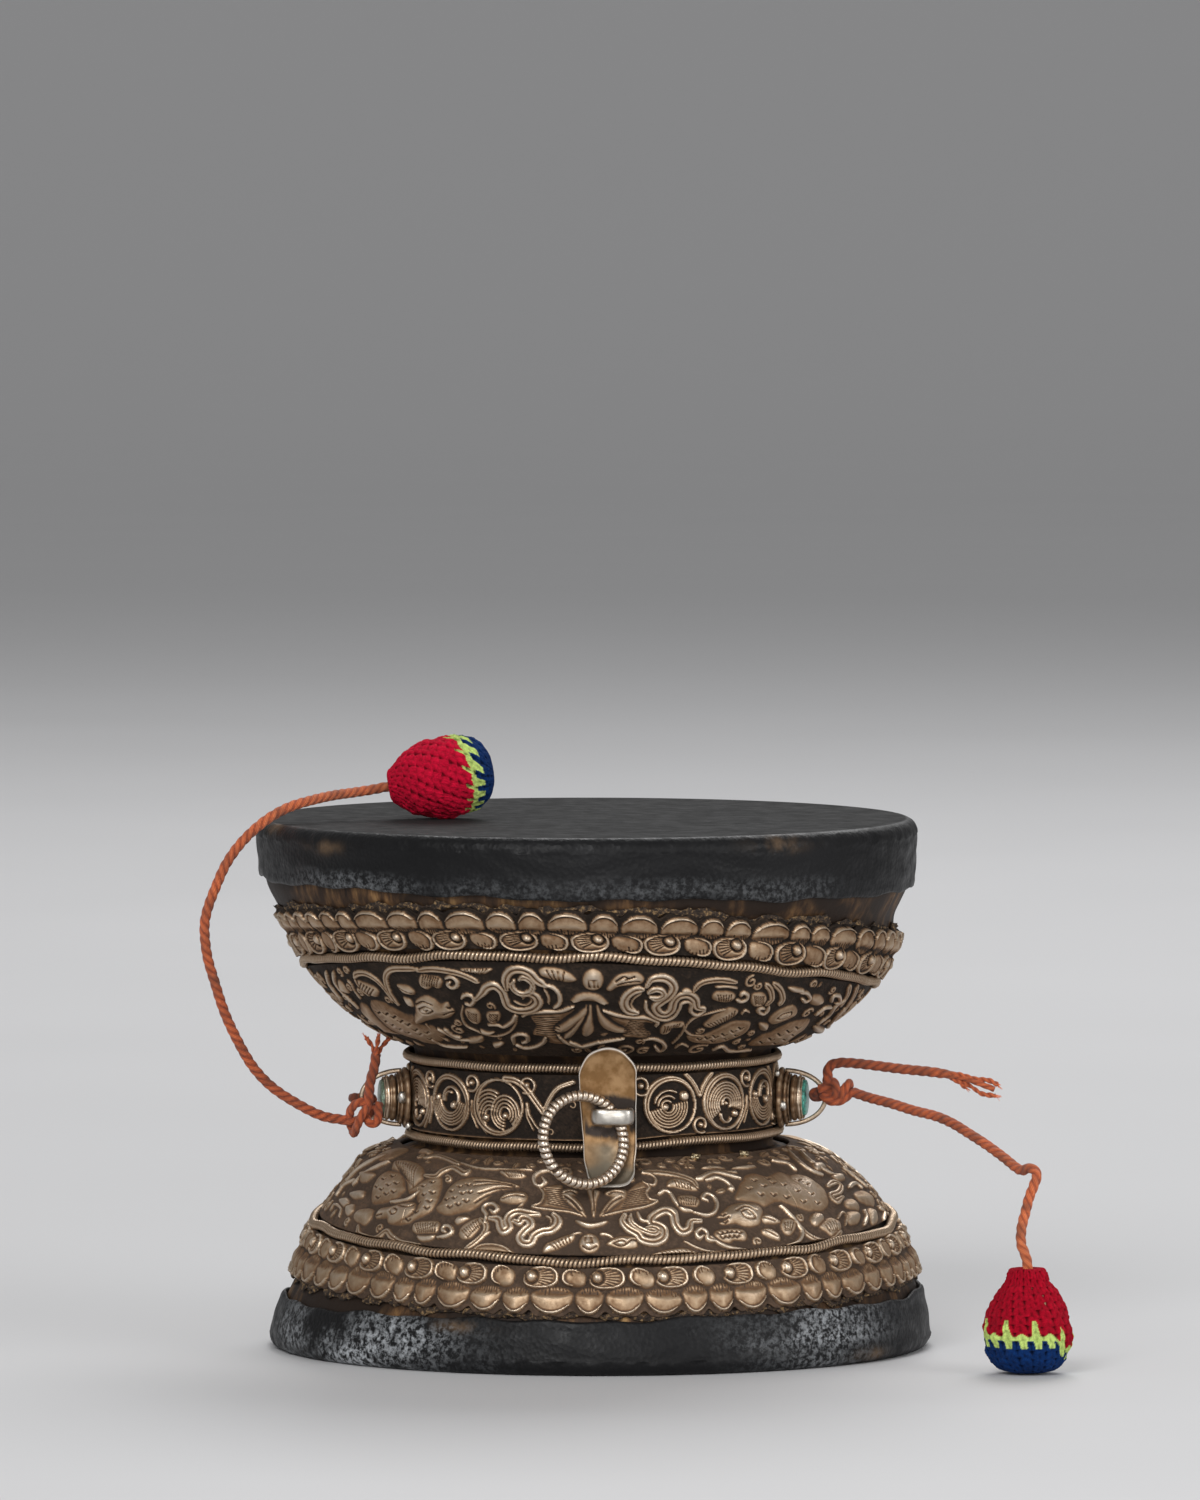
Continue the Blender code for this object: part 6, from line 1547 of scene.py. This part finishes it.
def claspRing():
    # a dark core, and a flattened wire wound round it: its section leans with the winding
    turn = np.linspace(0.0, 2 * math.pi, 240, endpoint=False)
    path = ringPoint(turn)
    normal = np.cross(*ringFrame()[1:3])
    tangent = unit(np.roll(path, -1, 0) - np.roll(path, 1, 0))
    outward = np.cross(tangent, normal)
    spin = np.linspace(0.0, 2 * math.pi, 12, endpoint=False)
    core = clasp["core"] + 0.00022
    rings = path[:, None, :] + core * (np.cos(spin)[None, :, None] * outward[:, None, :]
                                       + np.sin(spin)[None, :, None] * normal)
    sweep("ring_inside", rings, finishes["silver"], "ring", closed=True, fields={"polish": np.full((240, 12), 0.12)},
          stands=("ring_core",), slot="ring_silver")
    count = clasp["turns"] * 26
    share = np.arange(count + 1) / count
    # the wire steps forward at the ring's inner and outer sides and crosses its front and back nearly square
    step = np.sin(4 * math.pi * clasp["turns"] * share) * 0.45 / (2 * math.pi * clasp["turns"])
    about = math.pi * 1.25 + clasp["open"] + (share + step) * (2 * math.pi - 2 * clasp["open"])
    spot = ringPoint(about)
    ahead = unit(ringPoint(about + 0.001) - ringPoint(about - 0.001))
    outward = np.cross(ahead, normal)
    curl = (2 * math.pi * clasp["turns"] * share)[:, None]
    radial = np.cos(curl) * outward + np.sin(curl) * normal
    middle = spot + 0.00074 * radial
    spin = np.linspace(0.0, 2 * math.pi, 10, endpoint=False)
    across, lift = np.cos(spin), np.sin(spin)
    flat = (np.sign(across) * np.abs(across) ** 0.7 * 0.00054)[None, :, None] * ahead[:, None, :]
    tall = (np.sign(lift) * np.abs(lift) ** 0.7 * 0.00034)[None, :, None] * radial[:, None, :]
    wear = np.clip(0.45 + 0.55 * np.sin(spin), 0.0, 1.0)[None, :] + 0.0 * curl
    sweep("ring_winding", middle[:, None, :] + flat + tall, finishes["ringWire"], "ring", fields={"polish": wear},
          stands=("ring_wrap",), slot="ring_silver")
    # two loose ends of the wire curl inside the ring
    for number, (degrees, reach) in enumerate(((106, 0.00058), (168, 0.00050))):
        foot, opposite = ringPoint(np.radians(np.array([degrees, degrees + 180.0])))
        inside = unit(opposite - foot)
        beside = np.cross(normal, inside)
        bend = np.radians(np.linspace(200.0, -80.0, 30))[:, None]
        path = foot + inside * (0.0009 + reach * (1.0 + np.cos(bend))) + beside * reach * np.sin(bend) \
            + normal * 0.0002 * np.linspace(-1.0, 1.0, 30)[:, None]
        tangent, side, up = pathFrames(path, normal)
        spin = np.linspace(0.0, 2 * math.pi, 10, endpoint=False)[None, :, None]
        rings = path[:, None, :] + 0.00014 * (np.cos(spin) * side[:, None, :] + np.sin(spin) * up[:, None, :])
        sweep("ring_wire_end_%d" % (number + 1), rings, finishes["ringWire"], "ring",
              fields={"polish": np.full((30, 10), 0.55)}, slot="ring_silver")


claspPlate()
claspStaple()
claspRing()
print("clasp made")


# ---- cords, knots and frayed ends

cords = {
    "width": 0.0020, "loop": 0.0017, "pitch": 0.0056, "strands": 5,
    "leftRoute": [
        (-0.0487, -0.0105, 0.0443), (-0.0533, -0.0115, 0.0452), (-0.0580, -0.0128, 0.0476),
        (-0.0628, -0.0143, 0.0509), (-0.0664, -0.0158, 0.0548), (-0.0692, -0.0173, 0.0596),
        (-0.0719, -0.0190, 0.0656), (-0.0739, -0.0204, 0.0720), (-0.0752, -0.0213, 0.0768),
        (-0.0757, -0.0220, 0.0821), (-0.0751, -0.0224, 0.0858), (-0.0735, -0.0226, 0.0901),
        (-0.0714, -0.0224, 0.0947), (-0.0683, -0.0220, 0.0989), (-0.0642, -0.0212, 0.1026),
        (-0.0599, -0.0188, 0.1050), (-0.0555, -0.0152, 0.1062), (-0.0512, -0.0105, 0.1069),
        (-0.0474, -0.0064, 0.1072), (-0.0440, -0.0043, 0.1076), (-0.0418, -0.0040, 0.1080),
        (-0.0396, -0.0040, 0.1084)],
    "rightRoute": [
        (0.0488, -0.0111, 0.0497), (0.0518, -0.0140, 0.0489), (0.0560, -0.0180, 0.0481),
        (0.0601, -0.0220, 0.0471), (0.0641, -0.0260, 0.0464), (0.0673, -0.0295, 0.0453),
        (0.0705, -0.0335, 0.0436), (0.0737, -0.0375, 0.0418), (0.0769, -0.0415, 0.0397),
        (0.0791, -0.0445, 0.0381), (0.0803, -0.0463, 0.0377), (0.0818, -0.0480, 0.0383),
        (0.0829, -0.0495, 0.0372), (0.0823, -0.0508, 0.0352), (0.0814, -0.0519, 0.0330),
        (0.0807, -0.0532, 0.0305), (0.0799, -0.0547, 0.0275), (0.0798, -0.0558, 0.0246),
        (0.0806, -0.0567, 0.0224), (0.0810, -0.0570, 0.0205), (0.0810, -0.0570, 0.0188)],
    "leftTail": [
        (-0.0449, -0.0112, 0.0466), (-0.0445, -0.0115, 0.0480), (-0.0444, -0.0116, 0.0492),
        (-0.0441, -0.0119, 0.0520), (-0.0434, -0.0121, 0.0545), (-0.0430, -0.0122, 0.0572)],
    "rightTail": [
        (0.0440, -0.0108, 0.0508), (0.0437, -0.0109, 0.0520), (0.0438, -0.0109, 0.0530), (0.0440, -0.0109, 0.0545),
        (0.0458, -0.0111, 0.0554), (0.0500, -0.0120, 0.0553), (0.0577, -0.0140, 0.0545), (0.0640, -0.0160, 0.0540),
        (0.0690, -0.0178, 0.0533), (0.0722, -0.0190, 0.0523), (0.0756, -0.0196, 0.0510)],
    # loops through the bails: out from the belt's axis, towards the front, up from the bezel
    "leftLoop": [
        (0.0432, 0.0026, -0.0002), (0.0431, 0.0012, 0.0), (0.0432, -0.0002, 0.0), (0.0437, -0.0013, 0.0),
        (0.0450, -0.0019, 0.0), (0.0463, -0.0013, 0.0), (0.0468, -0.0002, 0.0), (0.0469, 0.0012, 0.0),
        (0.0468, 0.0024, 0.0002)],
    "rightLoop": [
        (0.0441, 0.0041, 0.0016), (0.0433, 0.0037, 0.0014), (0.0430, 0.0025, 0.0008), (0.0431, 0.0010, 0.0002),
        (0.0433, -0.0005, 0.0), (0.0440, -0.0016, 0.0), (0.0450, -0.0019, 0.0), (0.0462, -0.0014, 0.0),
        (0.0468, -0.0004, 0.0), (0.0469, 0.0005, 0.0)],
    # the knots, in millimetres from their middles
    "leftKnot": ((-0.0453, -0.0105, 0.0449), [
        (-3.7, 0.0, -0.6), (-2.6, -0.2, -0.9), (-1.2, 0.9, -0.6), (0.6, 1.5, 0.2), (1.5, 0.6, 1.5), (0.7, -0.7, 2.6),
        (-0.8, -1.1, 3.0), (-2.2, -0.8, 2.1), (-2.8, 0.0, 0.6), (-2.7, 1.0, -1.3), (-2.2, 0.4, -2.8),
        (-1.9, -1.1, -2.9), (-1.3, -2.0, -1.3), (-0.6, -2.1, 0.3), (0.3, -1.5, 1.6), (0.5, -0.3, 2.0),
        (0.2, -0.2, 0.6), (0.8, -0.9, -0.8), (2.0, -0.9, -1.2), (2.7, -0.4, 0.1), (2.6, 0.0, 1.6), (2.7, 0.6, 2.6)]),
    "rightKnot": ((0.0454, -0.0105, 0.0499), [
        (-3.3, -0.1, 0.5), (-1.9, -0.6, 0.5), (-0.8, -0.4, 0.3), (0.3, 0.6, 0.0), (1.4, 1.3, 0.2), (2.5, 0.9, 0.9),
        (2.5, -0.5, 1.6), (1.9, -1.5, 1.0), (1.2, -1.7, -0.2), (0.4, -0.9, -1.2), (-0.6, 0.5, -1.6),
        (-1.6, 1.2, -0.4), (-1.2, 0.9, 1.1), (-0.6, -0.4, 1.9), (-0.1, -1.5, 1.1), (0.1, -1.7, -0.2),
        (-0.6, -1.0, -0.9), (-1.9, 0.0, -0.6), (-2.4, -0.4, -0.9), (-1.4, -1.1, -1.7), (0.1, -1.3, -1.9),
        (1.5, -1.1, -1.4), (2.6, -0.7, -0.4), (3.5, -0.6, -0.2)]),
    # strands that come apart at the tails' ends, in metres
    "leftFray": [[(-0.0432, -0.0123, 0.0565), (-0.0436, -0.0124, 0.0584), (-0.0443, -0.0125, 0.0595),
                  (-0.0449, -0.0126, 0.0604)],
                 [(-0.0430, -0.0127, 0.0566), (-0.0429, -0.0130, 0.0584), (-0.0427, -0.0131, 0.0596),
                  (-0.0426, -0.0130, 0.0606)],
                 [(-0.0428, -0.0119, 0.0566), (-0.0422, -0.0118, 0.0582), (-0.0412, -0.0117, 0.0594),
                  (-0.0405, -0.0117, 0.0603)]],
    "rightFray": [[(0.0668, -0.0169, 0.0532), (0.0688, -0.0173, 0.0527), (0.0712, -0.0180, 0.0514),
                   (0.0732, -0.0186, 0.0501), (0.0758, -0.0190, 0.0497)],
                  [(0.0662, -0.0171, 0.0538), (0.0690, -0.0181, 0.0537), (0.0720, -0.0188, 0.0530),
                   (0.0745, -0.0193, 0.0527), (0.0762, -0.0196, 0.0519)],
                  [(0.0672, -0.0171, 0.0530), (0.0690, -0.0173, 0.0521), (0.0702, -0.0176, 0.0512)]],
}


def layedRope(name, line, width, body, plies=3, pitch=None, across=(0.0, -1.0, 0.0), fresh=0.5, grime=0.4,
              places=36, hand=1, **rest):
    # A laid cord: one round lobe for each ply, the whole section turning once in a pitch. A lobe's edge is a
    # circle of 0.7 about a point at 0.3 of the radius. The lane counts fine strands over each ply.
    run = lengthsAlong(line)
    tangent, side, up = pathFrames(line, np.array(across, dtype=float))
    angle = np.linspace(0.0, 2 * math.pi, places, endpoint=False)[None, :]
    turn = hand * 2 * math.pi * run[:, None] / (pitch or cords["pitch"])
    lobe = 2 * math.pi / plies
    off = (angle - turn + lobe / 2) % lobe - lobe / 2
    near, far = (0.3, 0.7) if plies > 2 else (0.34, 0.66)
    share = near * np.cos(off) + np.sqrt(far ** 2 - (near * np.sin(off)) ** 2)
    radius = share * np.reshape(width, (-1, 1)) / 2
    rings = line[:, None, :] + radius[..., None] * (np.cos(angle)[..., None] * side[:, None, :]
                                                    + np.sin(angle)[..., None] * up[:, None, :])
    # crown runs from 0 in the grooves between plies to 1 on their tops; the cotton finish paints the grooves darker, a
    # painted shade
    crown = np.clip((share - share.min()) / (share.max() - share.min()), 0.0, 1.0)
    lane = 2 * math.pi * (cords["strands"] * off / lobe + hand * 0.6 * run[:, None] / 0.0012)
    whole = np.ones_like(crown)
    fields = {"ply": crown, "lane": lane, "grime": whole * np.reshape(grime, (-1, 1)),
              "fresh": whole * np.reshape(fresh, (-1, 1))}
    return sweep(name, rings, finishes["cotton"], body, fields=fields, slot="cotton_cord", **rest)


def routed(points, step=0.00025):
    line = throughPoints(points, 12)
    return evenPoints(line, int(lengthsAlong(line)[-1] / step) + 2)


def tail(key, fray, body, fresh):
    # loose strands of two yarns each, and a few single fibres past their ends
    dice = np.random.default_rng(len(key))
    made, fibres = [], []
    for number, points in enumerate(cords[fray]):
        line = routed(points, 0.0002)
        taper = 0.00098 * (0.75 + 0.25 * smooth(0.0, 0.3, np.linspace(0, 1, len(line)))) \
            * (1.0 + 0.12 * np.sin(np.linspace(0, 9, len(line))))
        made.append(layedRope("%s_strand_%d" % (key, number + 1), line, taper, body, 2, 0.0030, fresh=fresh,
                              grime=0.2, places=20, hand=-1))
        tip, ahead = line[-1], unit(line[-1] - line[-5])
        side = unit(np.cross(ahead, (0.3, 0.9, 0.2)))
        spread = unit(ahead + dice.normal(0.0, 0.45, (9, 3)))[:, None, None]
        start = (tip - ahead * 0.0004 + dice.normal(0.0, 0.00016, (9, 3)))[:, None, None]
        reach = dice.uniform(0.0006, 0.0013, 9)[:, None, None, None]
        share = np.linspace(0.0, 1.0, 6)[None, :, None, None]
        spin = np.linspace(0.0, 2 * math.pi, 5, endpoint=False)[:, None]
        loop = np.cos(spin) * side + np.sin(spin) * np.cross(ahead, side)
        fibres.append(start + (0.6 * ahead * share + 0.7 * spread * share ** 2) * reach
                      + 0.00011 * (1.0 - 0.6 * share) * loop)
    fibres = np.concatenate(fibres)
    one = np.ones(fibres.shape[:3])
    made.append(manySweeps(key + "_fibres", fibres, finishes["cotton"], body, slot="cotton_cord",
                           fields={"ply": one * 0.8, "lane": one, "grime": one * 0.0, "fresh": one * fresh}))
    return made


def bezelRoute(route, side):
    foot, out, front = bezelAxes(side)
    r = np.array(route)
    return foot + r[:, :1] * out + r[:, 1:2] * front + r[:, 2:] * np.array((0.0, 0.0, 1.0))


def makeKnot(key, across):
    middle, points = cords[key + "Knot"]
    line = routed(np.array(middle) + np.array(points) / 1000.0, 0.00022)
    tight = np.interp(np.linspace(0, 1, len(line)), [0.0, 0.1, 0.9, 1.0], [0.0019, 0.00175, 0.00175, 0.0019])
    layedRope(key + "_tied_knot", line, tight, "drum", across=across, fresh=0.35, grime=0.55, stands=(key + "_knot",),
              pitch=0.0050)


def makeCords():
    made = {}
    for key, side, across, fresh in (("left", -1, (0.0, -1.0, 0.0), (0.30, 0.45, 0.62, 0.95)),
                                     ("right", 1, (0.7, 0.7, 0.0), (0.38, 0.42, 0.60, 0.92))):
        line = routed(cords[key + "Route"])
        along = np.linspace(0.0, 1.0, len(line))
        warm = np.interp(along, [0.0, 0.35, 0.7, 1.0], fresh) + ripple(along * 6, side + 5, [3, 7, 12], 0.05)
        made[key] = layedRope(key + "_laid_cord", line, cords["width"], key + "_beater", across=across, fresh=warm,
                              grime=0.45 + ripple(along * 6, side + 8, [4, 9, 15], 0.15), stands=(key + "_cord",))
        made[key + "Line"] = line
        loop = routed(bezelRoute(cords[key + "Loop"], side), 0.0002)
        layedRope(key + "_loop", loop, cords["loop"], "drum", across=(0.0, 0.0, 1.0), fresh=0.1, grime=0.8,
                  stands=(key + "_cord_loop",))
        makeKnot(key, (0.15, -0.98, 0.2))
        end = routed(cords[key + "Tail"])
        width = cords["width"] * np.ones(len(end))
        if key == "right":
            width = np.interp(lengthsAlong(end), [0.0, 0.026, 0.030, 0.04], [0.0020, 0.0020, 0.0013, 0.0011])
        strands = tail(key + "_frayed", key + "Fray", "drum", 0.35 if side < 0 else 0.5)
        piece = layedRope(key + "_tail", end, width, "drum", fresh=np.linspace(0.1, 0.25 if side < 0 else 0.6, len(end)),
                          grime=0.6, stands=(key + "_cord_tail",))
    return made


laid = makeCords()
print("cords, knots and tails made")


# ---- crocheted strikers

strikers = {
    "leftTilt": math.radians(10),
    "columns": 288, "rows": 150, "stitches": {"left": 14, "right": 18}, "round": 1.6, "raise": 0.00055,
    # distance along the axis from the cord's end and radius, in millimetres
    "leftEgg": [(1.2, 0.9), (0.45, 1.2), (0.05, 1.9), (0.5, 2.9), (1.5, 3.9), (2.6, 4.8), (4.4, 6.05), (7.0, 7.15), (9.6, 7.65),
                (12.3, 7.72), (14.6, 7.50), (16.8, 6.9), (18.6, 5.6), (19.7, 4.0), (20.3, 2.3), (20.5, 0.8)],
    "rightEgg": [(1.3, 0.9), (0.5, 1.3), (0.1, 2.1), (0.25, 3.0), (0.9, 3.55), (1.9, 3.85), (2.9, 4.3), (4.3, 5.5),
                 (6.0, 6.35), (8.1, 7.5), (10.2, 8.05), (13.0, 8.3), (15.4, 7.95), (17.5, 7.1), (19.0, 5.7),
                 (19.8, 3.6), (20.05, 1.0)],
    "leftRed": (0.54, 0.005, 0.032), "rightRed": (0.38, 0.003, 0.017), "lime": (0.54, 0.70, 0.19),
    "blue": (0.004, 0.028, 0.125),
}


def crochetStriker(key, start, axis, front, profile, seed):
    # Rounds of V stitches over a body of revolution: two ridges lean together in each cell, a low bar joins the
    # rounds, and the colours change along tooth lines
    axis, front = np.array(axis, dtype=float), np.array(front, dtype=float)
    side = np.cross(axis, front)
    line = evenPoints(throughPoints(np.array(profile), 12), strikers["rows"])
    run = lengthsAlong(line)[:, None]
    turn = np.linspace(0.0, 2 * math.pi, strikers["columns"], endpoint=False)[None, :]
    ahead, radius = line[:, :1] + 0.0 * turn, line[:, 1:] + 0.0 * turn
    dice = np.random.default_rng(seed)
    lean = -0.30 if key == "left" else 0.10
    stitches = strikers["stitches"][key]
    v = (run + 0.25 * np.sin(turn * 2 + 1.0) + 0.15 * np.sin(turn * 5)) / strikers["round"]
    rowNumber = np.floor(v)
    u = turn / (2 * math.pi) * stitches + lean * v
    column = np.floor(u)
    jitter = dice.uniform(-0.12, 0.12, (40, stitches + 40))
    cu = u - column - 0.5 + jitter[rowNumber.astype(int) % 40, column.astype(int) % stitches] * 0.5
    cv = v - rowNumber
    puff = dice.uniform(-1.0, 1.0, (40, stitches))[rowNumber.astype(int) % 40,
                                                              column.astype(int) % stitches]
    pitch = 2 * math.pi * radius / stitches
    wide = np.clip(pitch, 0.5, 3.0)

    def leg(x0, y0, x1, y1, width):
        # closeness to a slanting yarn within the cell, and the distance across it
        ax, ay = x0 * wide, y0 * strikers["round"]
        bx, by = x1 * wide, y1 * strikers["round"]
        px, py = cu * wide, cv * strikers["round"]
        dx, dy = bx - ax, by - ay
        t = np.clip(((px - ax) * dx + (py - ay) * dy) / np.maximum(dx * dx + dy * dy, 1e-9), 0.0, 1.0)
        ox, oy = px - ax - t * dx, py - ay - t * dy
        d = np.hypot(ox, oy)
        return np.sqrt(np.clip(1.0 - (d / width) ** 2, 0.0, 1.0)), np.sign(ox * dy - oy * dx) * d

    thick = 0.25 * wide + 0.10
    first, laneA = leg(-0.36, 1.02, -0.10, 0.02, thick)
    second, laneB = leg(0.36, 1.02, 0.10, 0.02, thick)
    bar, laneC = leg(-0.5, 0.96, 0.5, 0.96, 0.34 * np.ones_like(wide))
    bar = bar * 0.85
    lift = np.maximum(np.maximum(first, second), bar)
    lane = np.where(first >= np.maximum(second, bar), laneA, np.where(second >= bar, laneB, laneC))
    rough = dice.normal(0.0, 1.0, lift.shape)
    for _ in range(2):
        rough = 0.5 * rough + 0.25 * (np.roll(rough, 1, 0) + np.roll(rough, 1, 1))
    fade = smooth(0.4, 2.2, radius)
    lumps = 0.10 * np.sin(3 * turn + run * 0.7) + 0.07 * np.sin(7 * turn - run * 1.1)
    dome = np.cos(math.pi * np.clip(cu, -0.5, 0.5)) * np.sin(math.pi * cv)
    out = radius + fade * (strikers["raise"] * 1000.0 * (lift - 0.75) + 0.10 * rough + lumps + 0.28 * puff * dome)
    x, y = out * np.cos(turn), out * np.sin(turn)      # towards the front and to the side, millimetres
    rings = start + (ahead[..., None] * axis + x[..., None] * front + y[..., None] * side) / 1000.0

    tooth = (u + 0.5) % 2.0 - 1.0 if key == "right" else 2.0 * ((u + 0.5) % 1.0) - 1.0
    spike = smooth(0.30, 0.14, np.abs(tooth))
    bump = 0.5 + 0.5 * np.cos(2 * math.pi * cu)
    if key == "left":
        # millimetres across the photo's picture of the striker, from its left end
        reach = 0.907 * (rings[..., 0] * 1000.0 + 40.9) + 0.208 * (rings[..., 2] * 1000.0 - 110.5) - 0.375 * x
        red = reach < 12.3 - 1.5 * spike - 0.3 * bump
        blue = reach > 14.0 + 0.9 * (2.0 * smooth(0.30, 0.20, np.abs(cu)) - 1.0)
    else:
        drop = 2.6 * smooth(4.8, 7.2, -y) * (x > -2)
        red = ahead < 12.2 + drop - 2.5 * spike - 0.6 * bump + 0.3
        blue = ahead > 14.0 + drop + 0.75 * (2.0 * smooth(0.30, 0.20, np.abs(cu)) - 1.0)
    colour = np.empty(lift.shape + (4,))
    colour[...] = (*strikers["lime"], 1.0)
    colour[red] = (*strikers[key + "Red"], 1.0)
    colour[blue & ~red] = (*strikers["blue"], 1.0)
    # random tint of the yarn, and each stitch painted lighter where it bulges out and darker where it sinks: painted
    # light on the bulges
    speckleAndBulgeLight = 1.0 + 0.10 * dice.normal(0.0, 1.0, lift.shape) + 0.16 * puff * dome
    colour[..., :3] *= np.clip(speckleAndBulgeLight, 0.7, 1.3)[..., None]
    # loft also sets the painted shade of the crochet finish
    return sweep(key + "_crochet", rings, finishes["crochet"], key + "_beater",
                 fields={"yarn": colour, "loft": lift, "lane": lane * 2 * math.pi / 0.24},
                 stands=(key + "_striker_cover",), slot="crochet_" + key)


leftAlong = np.array((math.cos(strikers["leftTilt"]), 0.0, math.sin(strikers["leftTilt"])))
leftStart = np.array((-0.0306, -0.0040, 0.102 + 0.0079)) - 0.0103 * leftAlong
leftBall = crochetStriker("left", leftStart, leftAlong, (0, -1, 0), strikers["leftEgg"], 81)
rightStart = (0.0810, -0.0570, 0.0003 + 0.0199)
rightBall = crochetStriker("right", np.array(rightStart), (0, 0, -1), (0, -1, 0), strikers["rightEgg"], 85)
for name, key in (("left_striker_core", "turned"), ("right_striker_core", "turned"), ("waist_dowel", "turned"),
                  ("clasp_post", "bright")):
    nodes[name].data.materials.clear()
    nodes[name].data.materials.append(finishes[key])
print("strikers made")


# ---- camera, light and floor

studio = {
    "focal": 374.3,
    "floor": (0.62, 0.62, 0.63), "world": 0.34,
    "lamps": [
        ("key", (-0.7, -2.2, 1.45), (0.0, 0.0, 0.05), 1.1, 34.0),
        ("fill", (1.7, -1.2, 0.7), (0.0, 0.0, 0.05), 1.1, 13.0),
        ("front", (0.25, -2.3, 0.30), (0.0, 0.0, 0.05), 0.5, 7.0),
        ("back", (0.3, 1.4, 1.5), (0.0, 0.0, 0.08), 1.2, 18.0),
    ],
}


def setStudio():
    scene = bpy.context.scene
    scene.view_settings.view_transform = "Standard"
    lens = bpy.data.cameras.new("front_camera")
    lens.lens = studio["focal"]
    lens.sensor_fit = "VERTICAL"
    lens.sensor_height = 36.0
    lens.sensor_width = 36.0
    lens.clip_end = 50.0
    camera = bpy.data.objects.new("front_camera", lens)
    camera.location = sight["place"]
    camera.rotation_euler = (Vector(sight["aim"]) - Vector(sight["place"])).to_track_quat("-Z", "Y").to_euler()
    scene.collection.objects.link(camera)
    scene.camera = camera
    for name, place, aim, size, power in studio["lamps"]:
        data = bpy.data.lights.new(name, "AREA")
        data.shape = "SQUARE"
        data.size = size
        data.energy = power
        lamp = bpy.data.objects.new(name, data)
        lamp.location = place
        lamp.rotation_euler = (Vector(aim) - Vector(place)).to_track_quat("-Z", "Y").to_euler()
        scene.collection.objects.link(lamp)
    world = bpy.data.worlds.new("studio")
    scene.world = world
    world.use_nodes = True
    world.node_tree.nodes["Background"].inputs["Color"].default_value = (1.0, 1.0, 1.0, 1.0)
    world.node_tree.nodes["Background"].inputs["Strength"].default_value = studio["world"]
    f = Finish("pale_floor", studio["floor"], 0.6)
    f.set("Roughness", f.remap(f.noise(6.0, 2.0), 0.3, 0.7, 0.55, 0.65))
    # flat far enough behind for a camera at the back, then a quarter circle up
    rise = np.linspace(0.0, math.pi / 2, 23)
    y = np.concatenate([[-6.0], 3.8 + 3.0 * np.sin(rise)])
    z = np.concatenate([[0.0], 3.0 - 3.0 * np.cos(rise)])
    x = np.array([-12.0, 12.0])
    points = np.stack(np.broadcast_arrays(x[None, :], y[:, None], z[:, None]), axis=-1).reshape(-1, 3)
    index = np.arange(len(y) * 2).reshape(len(y), 2)
    faces = np.stack([index[:-1, 0], index[:-1, 1], index[1:, 1], index[1:, 0]], axis=-1)
    mesh = bpy.data.meshes.new("floor")
    mesh.from_pydata(points.tolist(), [], faces.tolist())
    mesh.shade_smooth()
    mesh.materials.append(f.material)
    floor = bpy.data.objects.new("floor", mesh)
    scene.collection.objects.link(floor)


setStudio()
print("camera, lamps and floor set")
